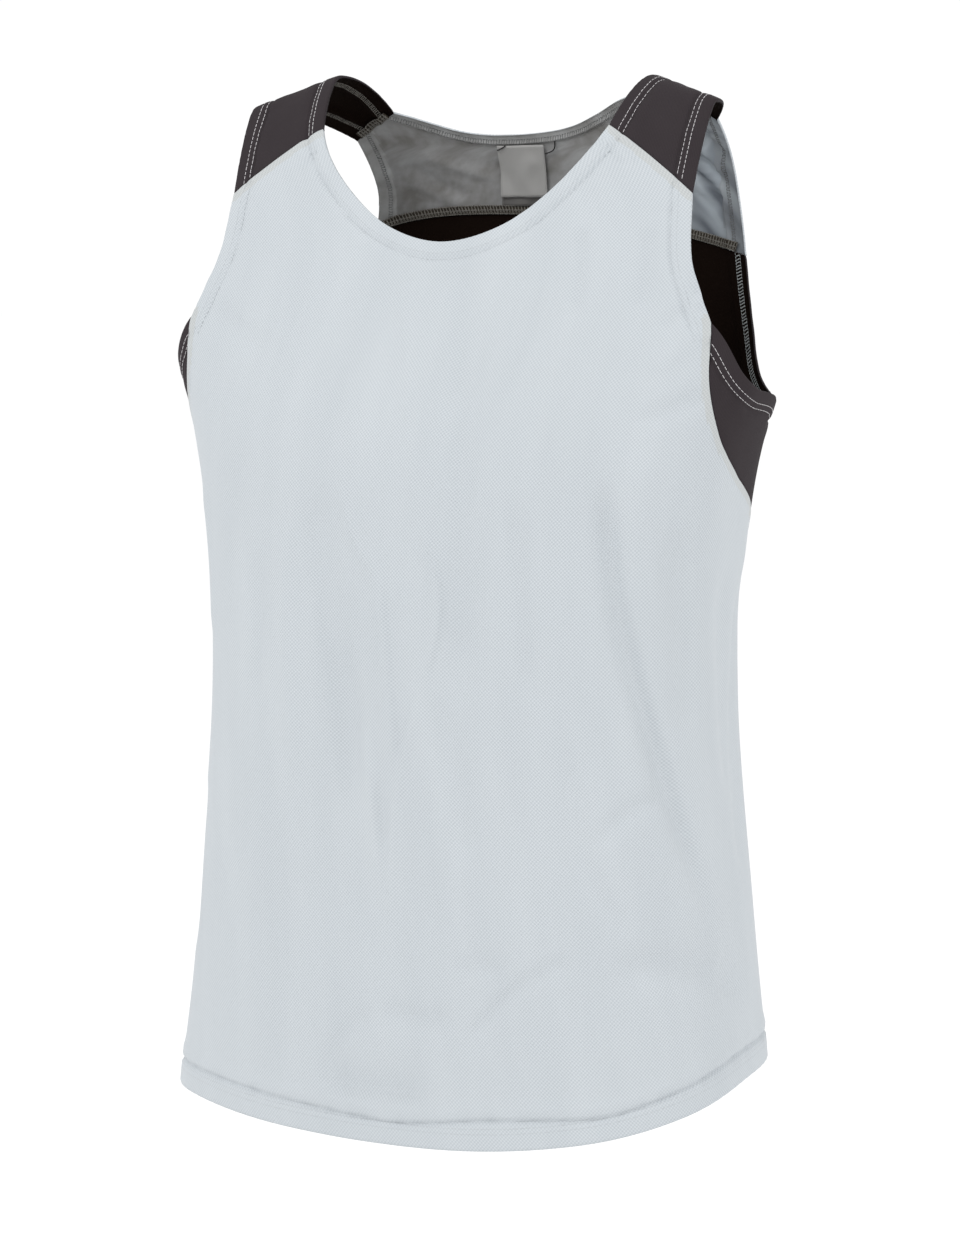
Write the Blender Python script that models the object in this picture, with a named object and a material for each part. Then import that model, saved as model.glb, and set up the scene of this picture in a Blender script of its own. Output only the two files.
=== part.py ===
"""Running singlet, filled out as if worn, with nobody in it.

Metres, +Z up. The front faces -Y and the wearer's left side is +X. The origin lies midway
between the undersides of the two shoulder panels, where the wearer's shoulders hold it up.

The cloth is a wall that follows one form. The form is a stack of rounded-rectangle sections
that closes over the two shoulders. Each panel is a grid of points on that form, between its
own cut edges, given a thickness. Panels that are sewn together share the points of their seam
and stand a seam gap apart.
"""

import math
from collections import namedtuple

import bpy
import numpy as np


def table(columns, *rows):
    """Rows of numbers under named columns."""
    row_type = namedtuple("Row", columns)
    return [row_type(*row) for row in rows]


# ---------------------------------------------------------------- driving sizes
WALL = 0.0012               # cloth thickness
HEM_WALL = 0.0020           # turned hems are two layers
BOTTOM_HEM = 0.020          # depth of the turned bottom hem
SEAM_GAP = 0.0003           # clearance between panels that are sewn together
TIP_CUT = 0.0016            # blunt end of the pointed underarm tip
LABEL_WALL = 0.0010
LABEL_CLEARANCE = 0.00045   # between a label and what it lies against

# Level sections of the form, from below the hem to the shoulder line.
# half_width is reached at middle_y; front and back are the reaches towards -Y and +Y.
SECTIONS = table(
    "z half_width front back middle_y",
    (-0.700, 0.2115, 0.1390, 0.1340, 0.0030),
    (-0.600, 0.1983, 0.1290, 0.1290, 0.0040),
    (-0.500, 0.1899, 0.1195, 0.1225, 0.0004),
    (-0.400, 0.1834, 0.1115, 0.1165, -0.0016),
    (-0.300, 0.1877, 0.1030, 0.1136, -0.0026),
    (-0.220, 0.2031, 0.0911, 0.1146, -0.0058),
    (-0.150, 0.2297, 0.0617, 0.1209, -0.0052),
    (-0.080, 0.2407, 0.0366, 0.1334, 0.0087),
    (0.000, 0.2426, 0.0159, 0.1193, 0.0173),
)
SECTION_SQUARENESS = 2.5665     # exponent of the rounded rectangle; 2 is an ellipse

# Top line of the shoulders: its height, and its place from front to back. It lies a little
# lower beside the neck on the wearer's left.
CROWN = table(
    "x z",
    (-0.220, -0.0271),
    (-0.180, -0.0098),
    (-0.145, 0.0038),
    (-0.110, 0.0172),
    (-0.060, 0.0322),
    (0.000, 0.0500),
    (0.060, 0.0284),
    (0.110, 0.0124),
    (0.145, 0.0012),
    (0.180, -0.0098),
    (0.220, -0.0271),
)
CROWN_MIDDLE_X = 0.140          # middle of a shoulder panel
CROWN_MIDDLE_Y = 0.0224
CROWN_SLANT = -0.403            # y per x: the top line comes forward towards the arm
FRONT_ROLL = 0.0771             # depth below the top line over which the front turns over
BACK_ROLL = 0.0888

# Cut edges. x runs to the wearer's left; angle is round the body, 0 in front, 90 at the
# wearer's left side, 180 behind.
NECK_FRONT = table(
    "x z",
    (0.0000, -0.0979),
    (0.0423, -0.0874),
    (0.0783, -0.0613),
    (0.0992, -0.0362),
    (0.1066, -0.0232),
)
# wearer's left to right, between the back shoulder seams; the left half climbs sooner
NECK_BACK = table(
    "x z",
    (0.0840, 0.0020),
    (0.0587, -0.0023),
    (0.0349, -0.0114),
    (0.0131, -0.0192),
    (-0.0150, -0.0235),
    (-0.0610, -0.0233),
    (-0.0773, -0.0199),
    (-0.0922, -0.0148),
)
NECK_TOP_X = 0.1173             # where the neck edge crosses the shoulder top line
ARM_TOP_X = 0.1733              # where the armhole edge crosses that line

# shoulder panel to front panel, neck to armhole
FRONT_SEAM = table(
    "x z",
    (0.1066, -0.0232),
    (0.1300, -0.0372),
    (0.1530, -0.0530),
    (0.1713, -0.0670),
)
# shoulder panel to upper back, neck to armhole; the left one sits higher
BACK_SEAM = table(
    "side x z",
    ("left", 0.1080, 0.0032),
    ("left", 0.1445, -0.0170),
    ("right", 0.1112, -0.0084),
    ("right", 0.1418, -0.0270),
)
# from the front shoulder seam down to the side seam
ARMHOLE_FRONT = table(
    "angle z",
    (42.7, -0.0998),
    (47.2, -0.1301),
    (51.4, -0.1479),
)
ARMHOLE_BACK = (                # from the side seam, under the arm and up the back
    (67.1, -0.1777),
    (102.2, -0.1956),
    (119.4, -0.1995),
    (136.1, -0.1706),
)
ARMHOLE_LOWEST_ROW = 2          # row of ARMHOLE_BACK where the armhole turns up the back
# up the racer-cut back, which spreads at the wearer's left end of the yoke seam
ARMHOLE_RACER = table(
    "side x z",
    ("left", 0.1476, -0.1020),
    ("left", 0.1415, -0.0661),
    ("right", 0.1393, -0.0661),
)

# upper back to lower back, wearer's left to right
YOKE_SEAM = table(
    "x z",
    (0.1034, -0.0970),
    (0.0400, -0.0850),
    (-0.0350, -0.0800),
    (-0.1010, -0.0823),
    (-0.1300, -0.0885),
)
# where it meets the armholes
YOKE_ENDS = table(
    "side z",
    ("left", -0.1078),
    ("right", -0.0945),
)
# front panel to lower back, armhole to hem
SIDE_SEAM = table(
    "angle z",
    (51.4, -0.1479),
    (55.6, -0.1762),
    (69.1, -0.2185),
    (76.8, -0.2321),
    (87.6, -0.2449),
    (97.7, -0.2560),
    (108.0, -0.2680),
    (118.0, -0.2870),
    (124.0, -0.3250),
    (127.0, -0.4200),
)
SIDE_SEAM_HEM_ANGLE = 128.0
SIDE_SEAM_KNEE_ROW = 7          # row of SIDE_SEAM where it turns down to the hem

# the wearer's right side hangs lower than the left
HEM = table(
    "angle z",
    (-180.0, -0.6520),
    (-128.0, -0.6640),
    (-95.0, -0.6705),
    (-72.0, -0.6748),
    (-42.0, -0.6720),
    (-19.0, -0.6755),
    (0.0, -0.6768),
    (18.0, -0.6747),
    (38.8, -0.6664),
    (60.0, -0.6537),
    (85.0, -0.6423),
    (128.0, -0.6400),
    (180.0, -0.6520),
)

# Largest folds, as soft troughs (depth above 0, into the body) and ridges (below 0).
# Each runs through three points and fades out at both ends.
FOLDS = table(
    "angle_1 z_1 angle_2 z_2 angle_3 z_3 half_width depth",
    (38.5, -0.235, 53.6, -0.354, 75.5, -0.515, 0.016, 0.0048),
    (63.0, -0.270, 70.2, -0.343, 70.0, -0.430, 0.018, 0.0032),
    (14.0, -0.225, 16.9, -0.324, 17.1, -0.430, 0.020, 0.0026),
    (-12.1, -0.220, -9.0, -0.300, 0.2, -0.400, 0.014, 0.0030),
    (10.0, -0.310, 6.0, -0.400, 0.5, -0.540, 0.012, 0.0028),
    (-7.5, -0.370, -2.5, -0.480, 3.0, -0.580, 0.012, -0.0026),
    (-26.0, -0.200, -16.1, -0.304, -10.0, -0.400, 0.021, 0.0032),
    (24.0, -0.245, 28.5, -0.345, 31.0, -0.420, 0.013, 0.0022),
    (48.0, -0.552, 70.1, -0.566, 95.0, -0.592, 0.024, 0.0030),
    (15.0, -0.620, 27.0, -0.575, 42.0, -0.560, 0.012, 0.0022),
    (-100.0, -0.240, -108.0, -0.360, -112.0, -0.480, 0.022, 0.0035),
    (112.0, -0.300, 106.0, -0.410, 104.0, -0.530, 0.022, 0.0035),
    (150.0, -0.200, 158.0, -0.330, 160.0, -0.460, 0.022, 0.0035),
    (-152.0, -0.190, -160.0, -0.300, -166.0, -0.420, 0.022, 0.0035),
    (176.0, -0.280, 172.0, -0.420, 176.0, -0.560, 0.024, 0.0035),
    (-140.0, -0.360, -146.0, -0.470, -144.0, -0.580, 0.022, 0.0030),
)
FOLD_FADE = 0.22                # share of a fold's length over which each end fades

# How finely the grids are divided.
NECK_COLUMNS = 18
SEAM_COLUMNS = 5
ARMHOLE_ROWS = 6
RISE_ROWS = 5
RACER_ROWS = 6
KNEE_COLUMNS = 10
SIDE_ROWS = 20
UNDERARM_ROWS = 5
YOKE_COLUMNS = 20
SHOULDER_ROWS = 14

# Labels hang inside the back neck, from the turned hem. Middle and size are on the cloth.
LABELS = table(
    "name middle_x top_z width length layer",
    ("care_label", -0.0300, -0.0360, 0.0320, 0.0380, 0),
    ("back_neck_label", -0.0280, -0.0310, 0.0360, 0.0366, 1),
)
LABEL_DIVISIONS = 6

MATERIALS = table(
    "name colour roughness metallic",
    ("pale_mesh", (0.640, 0.690, 0.715), 0.85, 0.0),
    ("charcoal_knit", (0.052, 0.045, 0.048), 0.80, 0.0),
    ("white_satin", (0.780, 0.790, 0.790), 0.45, 0.0),
)

OUTWARD_STEP = 1e-4             # step of the slopes that give the form's outward direction
KNOT_POWER = 0.7                # spacing of a curve's knots: a power of their distance
FINE_POINTS = 400               # points of a fine curve
FOLD_POINTS = 25                # points along a fold's path
EDGE_SWEEP = 1.5                # how late a shoulder panel's free edges widen from the top line
SHARP_ANGLE = 50.0              # degrees between faces at which shading breaks


# ---------------------------------------------------------------- curves and the form
def column(rows, name):
    """One column of a table as an array."""
    return np.array([getattr(row, name) for row in rows], dtype=float)


def smooth(knots, values, x):
    """Smooth curve through (knots, values), read at x."""
    knots = np.asarray(knots, dtype=float)
    values = np.asarray(values, dtype=float)
    x = np.asarray(x, dtype=float)
    run = np.diff(knots)
    rise = np.diff(values) / run
    slope = np.empty(len(knots))
    slope[0] = rise[0]
    slope[-1] = rise[-1]
    slope[1:-1] = (rise[:-1] * run[1:] + rise[1:] * run[:-1]) / (run[1:] + run[:-1])
    i = np.clip(np.searchsorted(knots, x) - 1, 0, len(knots) - 2)
    t = (x - knots[i]) / run[i]
    start = (2 * t**3 - 3 * t**2 + 1) * values[i] + (t**3 - 2 * t**2 + t) * run[i] * slope[i]
    end = (3 * t**2 - 2 * t**3) * values[i + 1] + (t**3 - t**2) * run[i] * slope[i + 1]
    return start + end


def section(z):
    """Half width, front reach, back reach and middle of the form at height z."""
    heights = column(SECTIONS, "z")
    reaches = ("half_width", "front", "back", "middle_y")
    return [smooth(heights, column(SECTIONS, name), z) for name in reaches]


def crown_height(x):
    return smooth(column(CROWN, "x"), column(CROWN, "z"), x)


def crown_depth(x):
    return CROWN_MIDDLE_Y + CROWN_SLANT * (np.abs(x) - CROWN_MIDDLE_X)


def form_point(angle, z):
    """Point of the form at an angle (radians) round the body and a height."""
    angle = np.asarray(angle, dtype=float)
    half_width, front, back, middle = section(z)
    power = SECTION_SQUARENESS
    sine = np.sin(angle)
    cosine = np.cos(angle)
    reach = (np.abs(sine)**power + np.abs(cosine)**power) ** (-1 / power)
    x = half_width * reach * sine
    ahead = reach * cosine
    y = np.where(ahead > 0, middle - (front + middle) * ahead, middle - (back - middle) * ahead)
    drop = np.maximum(crown_height(x) - z, 0)
    share = np.clip(drop / np.where(ahead > 0, FRONT_ROLL, BACK_ROLL), 0, 1)
    rounding = np.sqrt(1 - (1 - share)**2)
    y = crown_depth(x) + (y - crown_depth(x)) * rounding
    return np.stack(np.broadcast_arrays(x, y, z), -1)


def angle_at(x, z, front):
    """Angle round the body of the point at x and height z, in front or behind."""
    half_width = section(z)[0]
    power = SECTION_SQUARENESS
    share = np.clip(np.abs(x) / half_width, 0, 1)
    beside = np.maximum(1 - share**power, 0) ** (1 / power)
    angle = np.arctan2(share, beside if front else -beside)
    return np.where(np.asarray(x) < 0, -angle, angle)


def shoulder_point(x, roll):
    """Point over the shoulder: roll is 0 on the top line, -90 degrees down the front."""
    x = np.asarray(x, dtype=float)
    roll = np.asarray(roll, dtype=float)
    depth = np.where(roll < 0, FRONT_ROLL, BACK_ROLL)
    z = crown_height(x) - depth * (1 - np.cos(roll))
    half_width, front, back, middle = section(z)
    power = SECTION_SQUARENESS
    share = np.clip(np.abs(x) / half_width, 0, 1)
    beside = np.maximum(1 - share**power, 0) ** (1 / power)
    y_front = middle - (front + middle) * beside
    y_back = middle + (back - middle) * beside
    y = np.where(roll < 0, y_front, y_back)
    y = crown_depth(x) + (y - crown_depth(x)) * np.abs(np.sin(roll))
    return np.stack(np.broadcast_arrays(x, y, z), -1)


def roll_at(x, z, front):
    """Roll over the shoulder of the point at x and height z."""
    depth = FRONT_ROLL if front else BACK_ROLL
    roll = np.arccos(np.clip(1 - (crown_height(x) - z) / depth, -1, 1))
    return -roll if front else roll


def outward(surface, first, second):
    """Unit direction away from the body at points of a surface of two parameters."""
    along_first = surface(first + OUTWARD_STEP, second) - surface(first - OUTWARD_STEP, second)
    along_second = surface(first, second + OUTWARD_STEP) - surface(first, second - OUTWARD_STEP)
    normal = np.cross(along_first, along_second)
    return normal / np.linalg.norm(normal, axis=-1, keepdims=True)


def fold_depth(points):
    """How far the folds move points of the form into the body."""
    depth = np.zeros(points.shape[:-1])
    for angle_1, z_1, angle_2, z_2, angle_3, z_3, half_width, height in FOLDS:
        angles = np.radians([angle_1, angle_2, angle_3])
        t = np.linspace(0, 1, FOLD_POINTS)
        path = form_point(
            smooth([0, 0.5, 1], angles, t),
            smooth([0, 0.5, 1], [z_1, z_2, z_3], t),
        )
        offset = points[..., None, :] - path
        distance = np.sqrt((offset**2).sum(-1))
        nearest = distance.argmin(-1)
        along = t[nearest]
        away = distance.min(-1)
        fade = np.clip(np.minimum(along, 1 - along) / FOLD_FADE, 0, 1)
        fade = fade * fade * (3 - 2 * fade)
        depth += height * fade * np.exp(-(away / half_width) ** 2)
    return depth


# ---------------------------------------------------------------- edges
def spread(curve, shares):
    """Points of a fine curve of angle and z, at shares of its length on the form."""
    points = form_point(curve[:, 0], curve[:, 1])
    length = np.concatenate([[0], np.cumsum(np.linalg.norm(np.diff(points, axis=0), axis=-1))])
    return np.stack([np.interp(shares, length / length[-1], curve[:, k]) for k in (0, 1)], -1)


def even(curve, count):
    """count + 1 evenly spread points of a fine curve of angle and z."""
    return spread(curve, np.linspace(0, 1, count + 1))


def through(rows):
    """Fine smooth curve through rows of two numbers."""
    rows = np.asarray(rows, dtype=float)
    step = np.hypot(*np.diff(rows, axis=0).T) ** KNOT_POWER
    knots = np.concatenate([[0], np.cumsum(step)])
    t = np.linspace(0, knots[-1], FINE_POINTS)
    return np.stack([smooth(knots, rows[:, k], t) for k in (0, 1)], -1)


def split_at(curve, point):
    """A fine curve as two, parted at its point nearest to the given one."""
    nearest = int(np.argmin(np.hypot(*(curve - point).T)))
    curve[nearest] = point
    return curve[:nearest + 1], curve[nearest:]


def in_front(rows):
    """Rows of x and z as angle and z, on the front."""
    rows = np.asarray(rows, dtype=float)
    return np.stack([angle_at(rows[:, 0], rows[:, 1], True), rows[:, 1]], -1)


def behind(rows):
    """Rows of x and z as angle and z, on the back, where angles run on past 180 degrees."""
    rows = np.asarray(rows, dtype=float)
    angle = angle_at(rows[:, 0], rows[:, 1], False)
    return np.stack([np.where(rows[:, 0] < 0, 2 * np.pi + angle, angle), rows[:, 1]], -1)


def in_radians(rows):
    return [(math.radians(angle), z) for angle, z in rows]


def join(*runs):
    """Curves end to end, each shared point kept once."""
    return np.concatenate([runs[0]] + [run[1:] for run in runs[1:]])


def on_right(curve):
    """The wearer's left edge as the right one, run the other way."""
    return (np.asarray(curve) * np.array([-1, 1]))[::-1]


def on_right_behind(curve):
    """The same for an edge on the back."""
    return on_right(curve) + np.array([2 * np.pi, 0])


def hem_height(angle):
    """Height of the bottom edge at an angle in radians, which may run on past 180 degrees."""
    signed = np.where(angle > np.pi, angle - 2 * np.pi, angle)
    return smooth(np.radians(column(HEM, "angle")), column(HEM, "z"), signed)


def hem_edge(start, end, count):
    angle = np.linspace(start, end, FINE_POINTS)
    return even(np.stack([angle, hem_height(angle)], -1), count)


def side_seam(side):
    """Armhole to knee, and knee to hem, as if on the wearer's left."""
    hem_angle = math.radians(SIDE_SEAM_HEM_ANGLE)
    hem_z = float(hem_height(hem_angle if side == "left" else -hem_angle))
    rows = in_radians(SIDE_SEAM) + [(hem_angle, hem_z)]
    underarm, down = split_at(through(rows), np.array(rows[SIDE_SEAM_KNEE_ROW]))
    fall = rows[SIDE_SEAM_KNEE_ROW][1] - hem_z
    shares = np.append(np.linspace(0, 1 - BOTTOM_HEM / fall, SIDE_ROWS), 1)
    return even(underarm, KNEE_COLUMNS), spread(down, shares)


def front_armhole():
    """Front shoulder seam to side seam, on the wearer's left."""
    rows = np.concatenate([in_front(FRONT_SEAM[-1:]), in_radians(ARMHOLE_FRONT)])
    return even(through(rows), ARMHOLE_ROWS)


def of_side(rows, side):
    """The rows of a table that belong to one side, without the side's name."""
    return [row[1:] for row in rows if row.side == side]


def back_armhole(side):
    """Side seam to the lowest point, from there to the yoke seam, and on to the shoulder
    seam, as if on the left."""
    rows = np.concatenate([
        in_radians(ARMHOLE_FRONT[-1:]),
        in_radians(ARMHOLE_BACK),
        behind(of_side(ARMHOLE_RACER, side)),
        behind(of_side(BACK_SEAM, side)[-1:]),
    ])
    under, climb = split_at(through(rows), rows[1 + ARMHOLE_LOWEST_ROW])
    yoke_z = of_side(YOKE_ENDS, side)[0][0]
    yoke_end = climb[np.argmin(np.abs(climb[:, 1] - yoke_z))]
    rise, racer = split_at(climb, yoke_end)
    return even(under, KNEE_COLUMNS), even(rise, RISE_ROWS), even(racer, RACER_ROWS)


def yoke_seam():
    """Wearer's left to right."""
    left_end = back_armhole("left")[1][-1:]
    right_end = on_right_behind(back_armhole("right")[1][-1:])
    return even(through(np.concatenate([left_end, behind(YOKE_SEAM), right_end])), YOKE_COLUMNS)


def coons(bottom, top, left, right):
    """Grid between four edges: rows run from bottom to top, columns from left to right."""
    s = np.linspace(0, 1, len(bottom))[None, :, None]
    t = np.linspace(0, 1, len(left))[:, None, None]
    between_rows = (1 - t) * bottom[None] + t * top[None]
    between_sides = (1 - s) * left[:, None] + s * right[:, None]
    corners = (1 - s) * ((1 - t) * bottom[0] + t * top[0])
    corners = corners + s * ((1 - t) * bottom[-1] + t * top[-1])
    return between_rows + between_sides - corners


# ---------------------------------------------------------------- walls
def run_along_row(row, first, last):
    step = 1 if last >= first else -1
    return [(row, col) for col in range(first, last + step, step)]


def run_along_column(col, first, last):
    step = 1 if last >= first else -1
    return [(row, col) for row in range(first, last + step, step)]


def pull_back(points, normals, seam):
    """Moves a sewn edge back by half a seam gap. The panel lies to the left of its run."""
    rows, cols = np.array(seam).T
    edge = points[rows, cols]
    tangent = np.gradient(edge, axis=0)
    inward = np.cross(normals[rows, cols], tangent)
    inward /= np.linalg.norm(inward, axis=-1, keepdims=True)
    points[rows, cols] = edge + inward * SEAM_GAP / 2


def add_panel(name, surface, grid, seams, hems, material, present=None, inset=0.0, wall=WALL):
    """Wall on the form: the outer side on the folded form, the inner side within it."""
    first, second = grid[..., 0], grid[..., 1]
    points = surface(first, second)
    normals = outward(surface, first, second)
    points = points - normals * (fold_depth(points)[..., None] + inset)
    for seam in seams:
        pull_back(points, normals, seam)
    thickness = np.full(first.shape, wall)
    for hem in hems:
        rows, cols = np.array(hem).T
        thickness[rows, cols] = HEM_WALL
    if present is None:
        present = np.ones((first.shape[0] - 1, first.shape[1] - 1), dtype=bool)
    inner = points - normals * thickness[..., None]
    return wall_object(name, points, inner, present, material)


def wall_object(name, outer, inner, present, material):
    """Closed wall between two grids of points, with a cell wherever present is true."""
    index = {}
    vertices = []

    def vertex(layer, corner):
        key = (layer, corner)
        if key not in index:
            index[key] = len(vertices)
            vertices.append(tuple((outer, inner)[layer][corner]))
        return index[key]

    faces = []
    rim = {}
    for row, col in zip(*np.nonzero(present)):
        ring = [(row, col), (row, col + 1), (row + 1, col + 1), (row + 1, col)]
        faces.append([vertex(0, corner) for corner in ring])
        faces.append([vertex(1, corner) for corner in reversed(ring)])
        for start, end in zip(ring, ring[1:] + ring[:1]):
            if rim.pop((end, start), None) is None:
                rim[(start, end)] = True
    for start, end in rim:
        faces.append([vertex(0, end), vertex(0, start), vertex(1, start), vertex(1, end)])

    mesh = bpy.data.meshes.new(name)
    mesh.from_pydata(vertices, [], faces)
    mesh.materials.append(material)
    mesh.shade_smooth()
    mesh.set_sharp_from_angle(angle=math.radians(SHARP_ANGLE))
    obj = bpy.data.objects.new(name, mesh)
    bpy.context.collection.objects.link(obj)
    return obj


# ---------------------------------------------------------------- panels
def same_run_on_right(edge):
    """A run of the wearer's left edge on the right side, run the same way."""
    return edge * np.array([-1, 1])


def stepped_grid(blocks, margin):
    """Blocks of points, stacked from the bottom up, as one grid, and the cells that it has.
    The narrow blocks stand in the middle of the wide ones, a margin in from their ends."""
    columns = max(block.shape[1] for block in blocks)
    rows = sum(len(block) - 1 for block in blocks)
    grid = np.zeros((rows + 1, columns, 2))
    present = np.zeros((rows, columns - 1), dtype=bool)
    start = 0
    for block in blocks:
        inset = margin if block.shape[1] < columns else 0
        grid[start:start + len(block), inset:columns - inset] = block
        present[start:start + len(block) - 1, inset:columns - 1 - inset] = True
        start += len(block) - 1
    return grid, present


def add_front_panel(material):
    """Front: all round the body between the side seams, and above them between the armholes
    up to the scooped neck."""
    underarm_left, down_left = side_seam("left")
    underarm_right, down_right = side_seam("right")
    armhole = front_armhole()
    seam = even(in_front(through(FRONT_SEAM)), SEAM_COLUMNS)
    other_half = [(-x, z) for x, z in reversed(NECK_FRONT)]
    neck = even(in_front(through([*other_half, *NECK_FRONT[1:]])), NECK_COLUMNS)
    top = join(on_right(seam), neck, seam)
    chest = np.linspace(on_right(armhole)[0], armhole[-1], len(top))
    upper = coons(chest, top, on_right(armhole), armhole[::-1])
    middle = join(on_right(underarm_right), chest, underarm_left)
    last = len(middle) - 1
    bottom = hem_edge(-down_right[-1, 0], down_left[-1, 0], last)
    lower = coons(bottom, middle, same_run_on_right(down_right[::-1]), down_left[::-1])
    grid, present = stepped_grid([lower, upper], KNEE_COLUMNS)
    high = len(grid) - 1
    first_up, last_up = KNEE_COLUMNS, last - KNEE_COLUMNS
    seams = [
        run_along_column(last, 0, SIDE_ROWS - 1) + run_along_row(SIDE_ROWS, last, last_up),
        run_along_row(high, last_up, last_up - SEAM_COLUMNS),
        run_along_row(high, first_up + SEAM_COLUMNS, first_up),
        run_along_row(SIDE_ROWS, first_up, 0) + run_along_column(0, SIDE_ROWS - 1, 0),
    ]
    hems = [
        run_along_row(0, 0, last),
        run_along_row(1, 0, last),
        run_along_column(last_up, SIDE_ROWS, high),
        run_along_row(high, first_up + SEAM_COLUMNS, last_up - SEAM_COLUMNS),
        run_along_column(first_up, SIDE_ROWS, high),
    ]
    return add_panel("front_panel", form_point, grid, seams, hems, material, present)


def blunt_tips(edge):
    """Cuts the pointed ends of an edge back a little."""
    for tip, neighbour in ((0, 1), (-1, -2)):
        run = np.linalg.norm(form_point(*edge[tip]) - form_point(*edge[neighbour]))
        edge[tip] += (edge[neighbour] - edge[tip]) * TIP_CUT / run


def add_lower_back_panel(material):
    """Lower back: between the side seams, then forward under both arms to a pointed tip, then
    up between the armholes to the yoke seam."""
    underarm_left, down_left = side_seam("left")
    underarm_right, down_right = side_seam("right")
    under_left, rise_left, _ = back_armhole("left")
    under_right, rise_right, _ = back_armhole("right")
    full_turn = np.array([2 * np.pi, 0])

    knee_line = np.linspace(
        underarm_left[-1], on_right_behind(underarm_right)[0], YOKE_COLUMNS + 1)
    arm_line = np.linspace(under_left[-1], on_right_behind(under_right)[0], YOKE_COLUMNS + 1)
    hem = hem_edge(down_left[-1, 0], 2 * np.pi - down_right[-1, 0], YOKE_COLUMNS)
    down_right_side = same_run_on_right(down_right[::-1]) + full_turn
    below = coons(hem, knee_line, down_left[::-1], down_right_side)

    band_bottom = join(underarm_left, knee_line, on_right_behind(underarm_right))
    band_top = join(under_left, arm_line, on_right_behind(under_right))
    blunt_tips(band_bottom)
    blunt_tips(band_top)
    climb = np.linspace(0, 1, UNDERARM_ROWS + 1)[:, None]
    left_tip = band_bottom[0] + (band_top[0] - band_bottom[0]) * climb
    right_tip = band_bottom[-1] + (band_top[-1] - band_bottom[-1]) * climb
    band = coons(band_bottom, band_top, left_tip, right_tip)

    above = coons(arm_line, yoke_seam(), rise_left, same_run_on_right(rise_right) + full_turn)
    grid, present = stepped_grid([below, band, above], KNEE_COLUMNS)

    high, last = (count - 1 for count in grid.shape[:2])
    left, right = KNEE_COLUMNS, last - KNEE_COLUMNS
    knee, arm = SIDE_ROWS, SIDE_ROWS + UNDERARM_ROWS
    seams = [
        run_along_column(right, 0, knee - 1) + run_along_row(knee, right, last),
        run_along_row(high, right, left),
        run_along_row(knee, 0, left) + run_along_column(left, knee - 1, 0),
    ]
    hems = [
        run_along_row(0, left, right),
        run_along_row(1, left, right),
        run_along_row(arm, 0, left) + run_along_column(left, arm, high),
        run_along_row(arm, right, last) + run_along_column(right, arm, high),
    ]
    return add_panel("lower_back_panel", form_point, grid, seams, hems, material, present)


def add_upper_back_panel(material):
    """Racer-cut upper back, between the armholes, above the arched yoke seam."""
    left_seam, right_seam = (
        even(behind(through(of_side(BACK_SEAM, side)))[::-1], SEAM_COLUMNS)
        for side in ("left", "right")
    )
    (left_x, left_z), (right_x, right_z) = (of_side(BACK_SEAM, side)[0] for side in ("left", "right"))
    neck_columns = YOKE_COLUMNS - 2 * SEAM_COLUMNS
    neck_line = through([(left_x, left_z), *NECK_BACK, (-right_x, right_z)])
    neck = even(behind(neck_line), neck_columns)
    top = join(left_seam, neck, on_right_behind(right_seam))
    left = back_armhole("left")[2]
    right = same_run_on_right(back_armhole("right")[2]) + np.array([2 * np.pi, 0])
    grid = coons(yoke_seam(), top, left, right)
    high, last = (count - 1 for count in grid.shape[:2])
    seams = [
        run_along_row(0, 0, last),
        run_along_row(high, last, last - SEAM_COLUMNS),
        run_along_row(high, SEAM_COLUMNS, 0),
    ]
    hems = [
        run_along_column(last, 0, high),
        run_along_row(high, SEAM_COLUMNS, last - SEAM_COLUMNS),
        run_along_column(0, 0, high),
    ]
    return add_panel("upper_back_panel", form_point, grid, seams, hems, material)


def over_shoulder(rows, front):
    """Rows of x and z as x and roll over the shoulder."""
    rows = np.asarray(rows, dtype=float)
    return np.stack([rows[:, 0], roll_at(rows[:, 0], rows[:, 1], front)], -1)


def seam_on_shoulder(rows, front, side):
    """A shoulder seam's shared points as x and roll."""
    fine = in_front(through(rows)) if front else behind(through(rows))
    points = form_point(*even(fine, SEAM_COLUMNS).T)[:, [0, 2]]
    if side == "right":
        points = points * np.array([-1, 1])
    return over_shoulder(points, front)


def shoulder_edge(front_end, top_x, back_end):
    """Free edge over the shoulder, from the front seam over the top line to the back seam."""
    half = SHOULDER_ROWS // 2
    climb = np.linspace(1, 0, half + 1)[:, None]
    crown = np.array([top_x, 0.0])
    share = np.array([EDGE_SWEEP, 1.0])
    front = crown + (front_end - crown) * climb ** share
    back = crown + (back_end - crown) * climb[::-1] ** share
    return join(front, back)


def add_shoulder_panel(side, material):
    """Panel over one shoulder, wide at the front seam and narrow at the back one."""
    front_seam = seam_on_shoulder(FRONT_SEAM, True, side)
    back_seam = seam_on_shoulder(of_side(BACK_SEAM, side), False, side)
    sign = -1 if side == "right" else 1
    neck_edge = shoulder_edge(front_seam[0], sign * NECK_TOP_X, back_seam[0])
    arm_edge = shoulder_edge(front_seam[-1], sign * ARM_TOP_X, back_seam[-1])
    grid = coons(front_seam, back_seam, neck_edge, arm_edge)
    if side == "right":
        grid = grid[:, ::-1]
    high, last = (count - 1 for count in grid.shape[:2])
    seams = [run_along_row(0, 0, last), run_along_row(high, last, 0)]
    hems = [run_along_column(0, 1, high - 1), run_along_column(last, 1, high - 1)]
    return add_panel(f"shoulder_panel_{side}", shoulder_point, grid, seams, hems, material)


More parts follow.
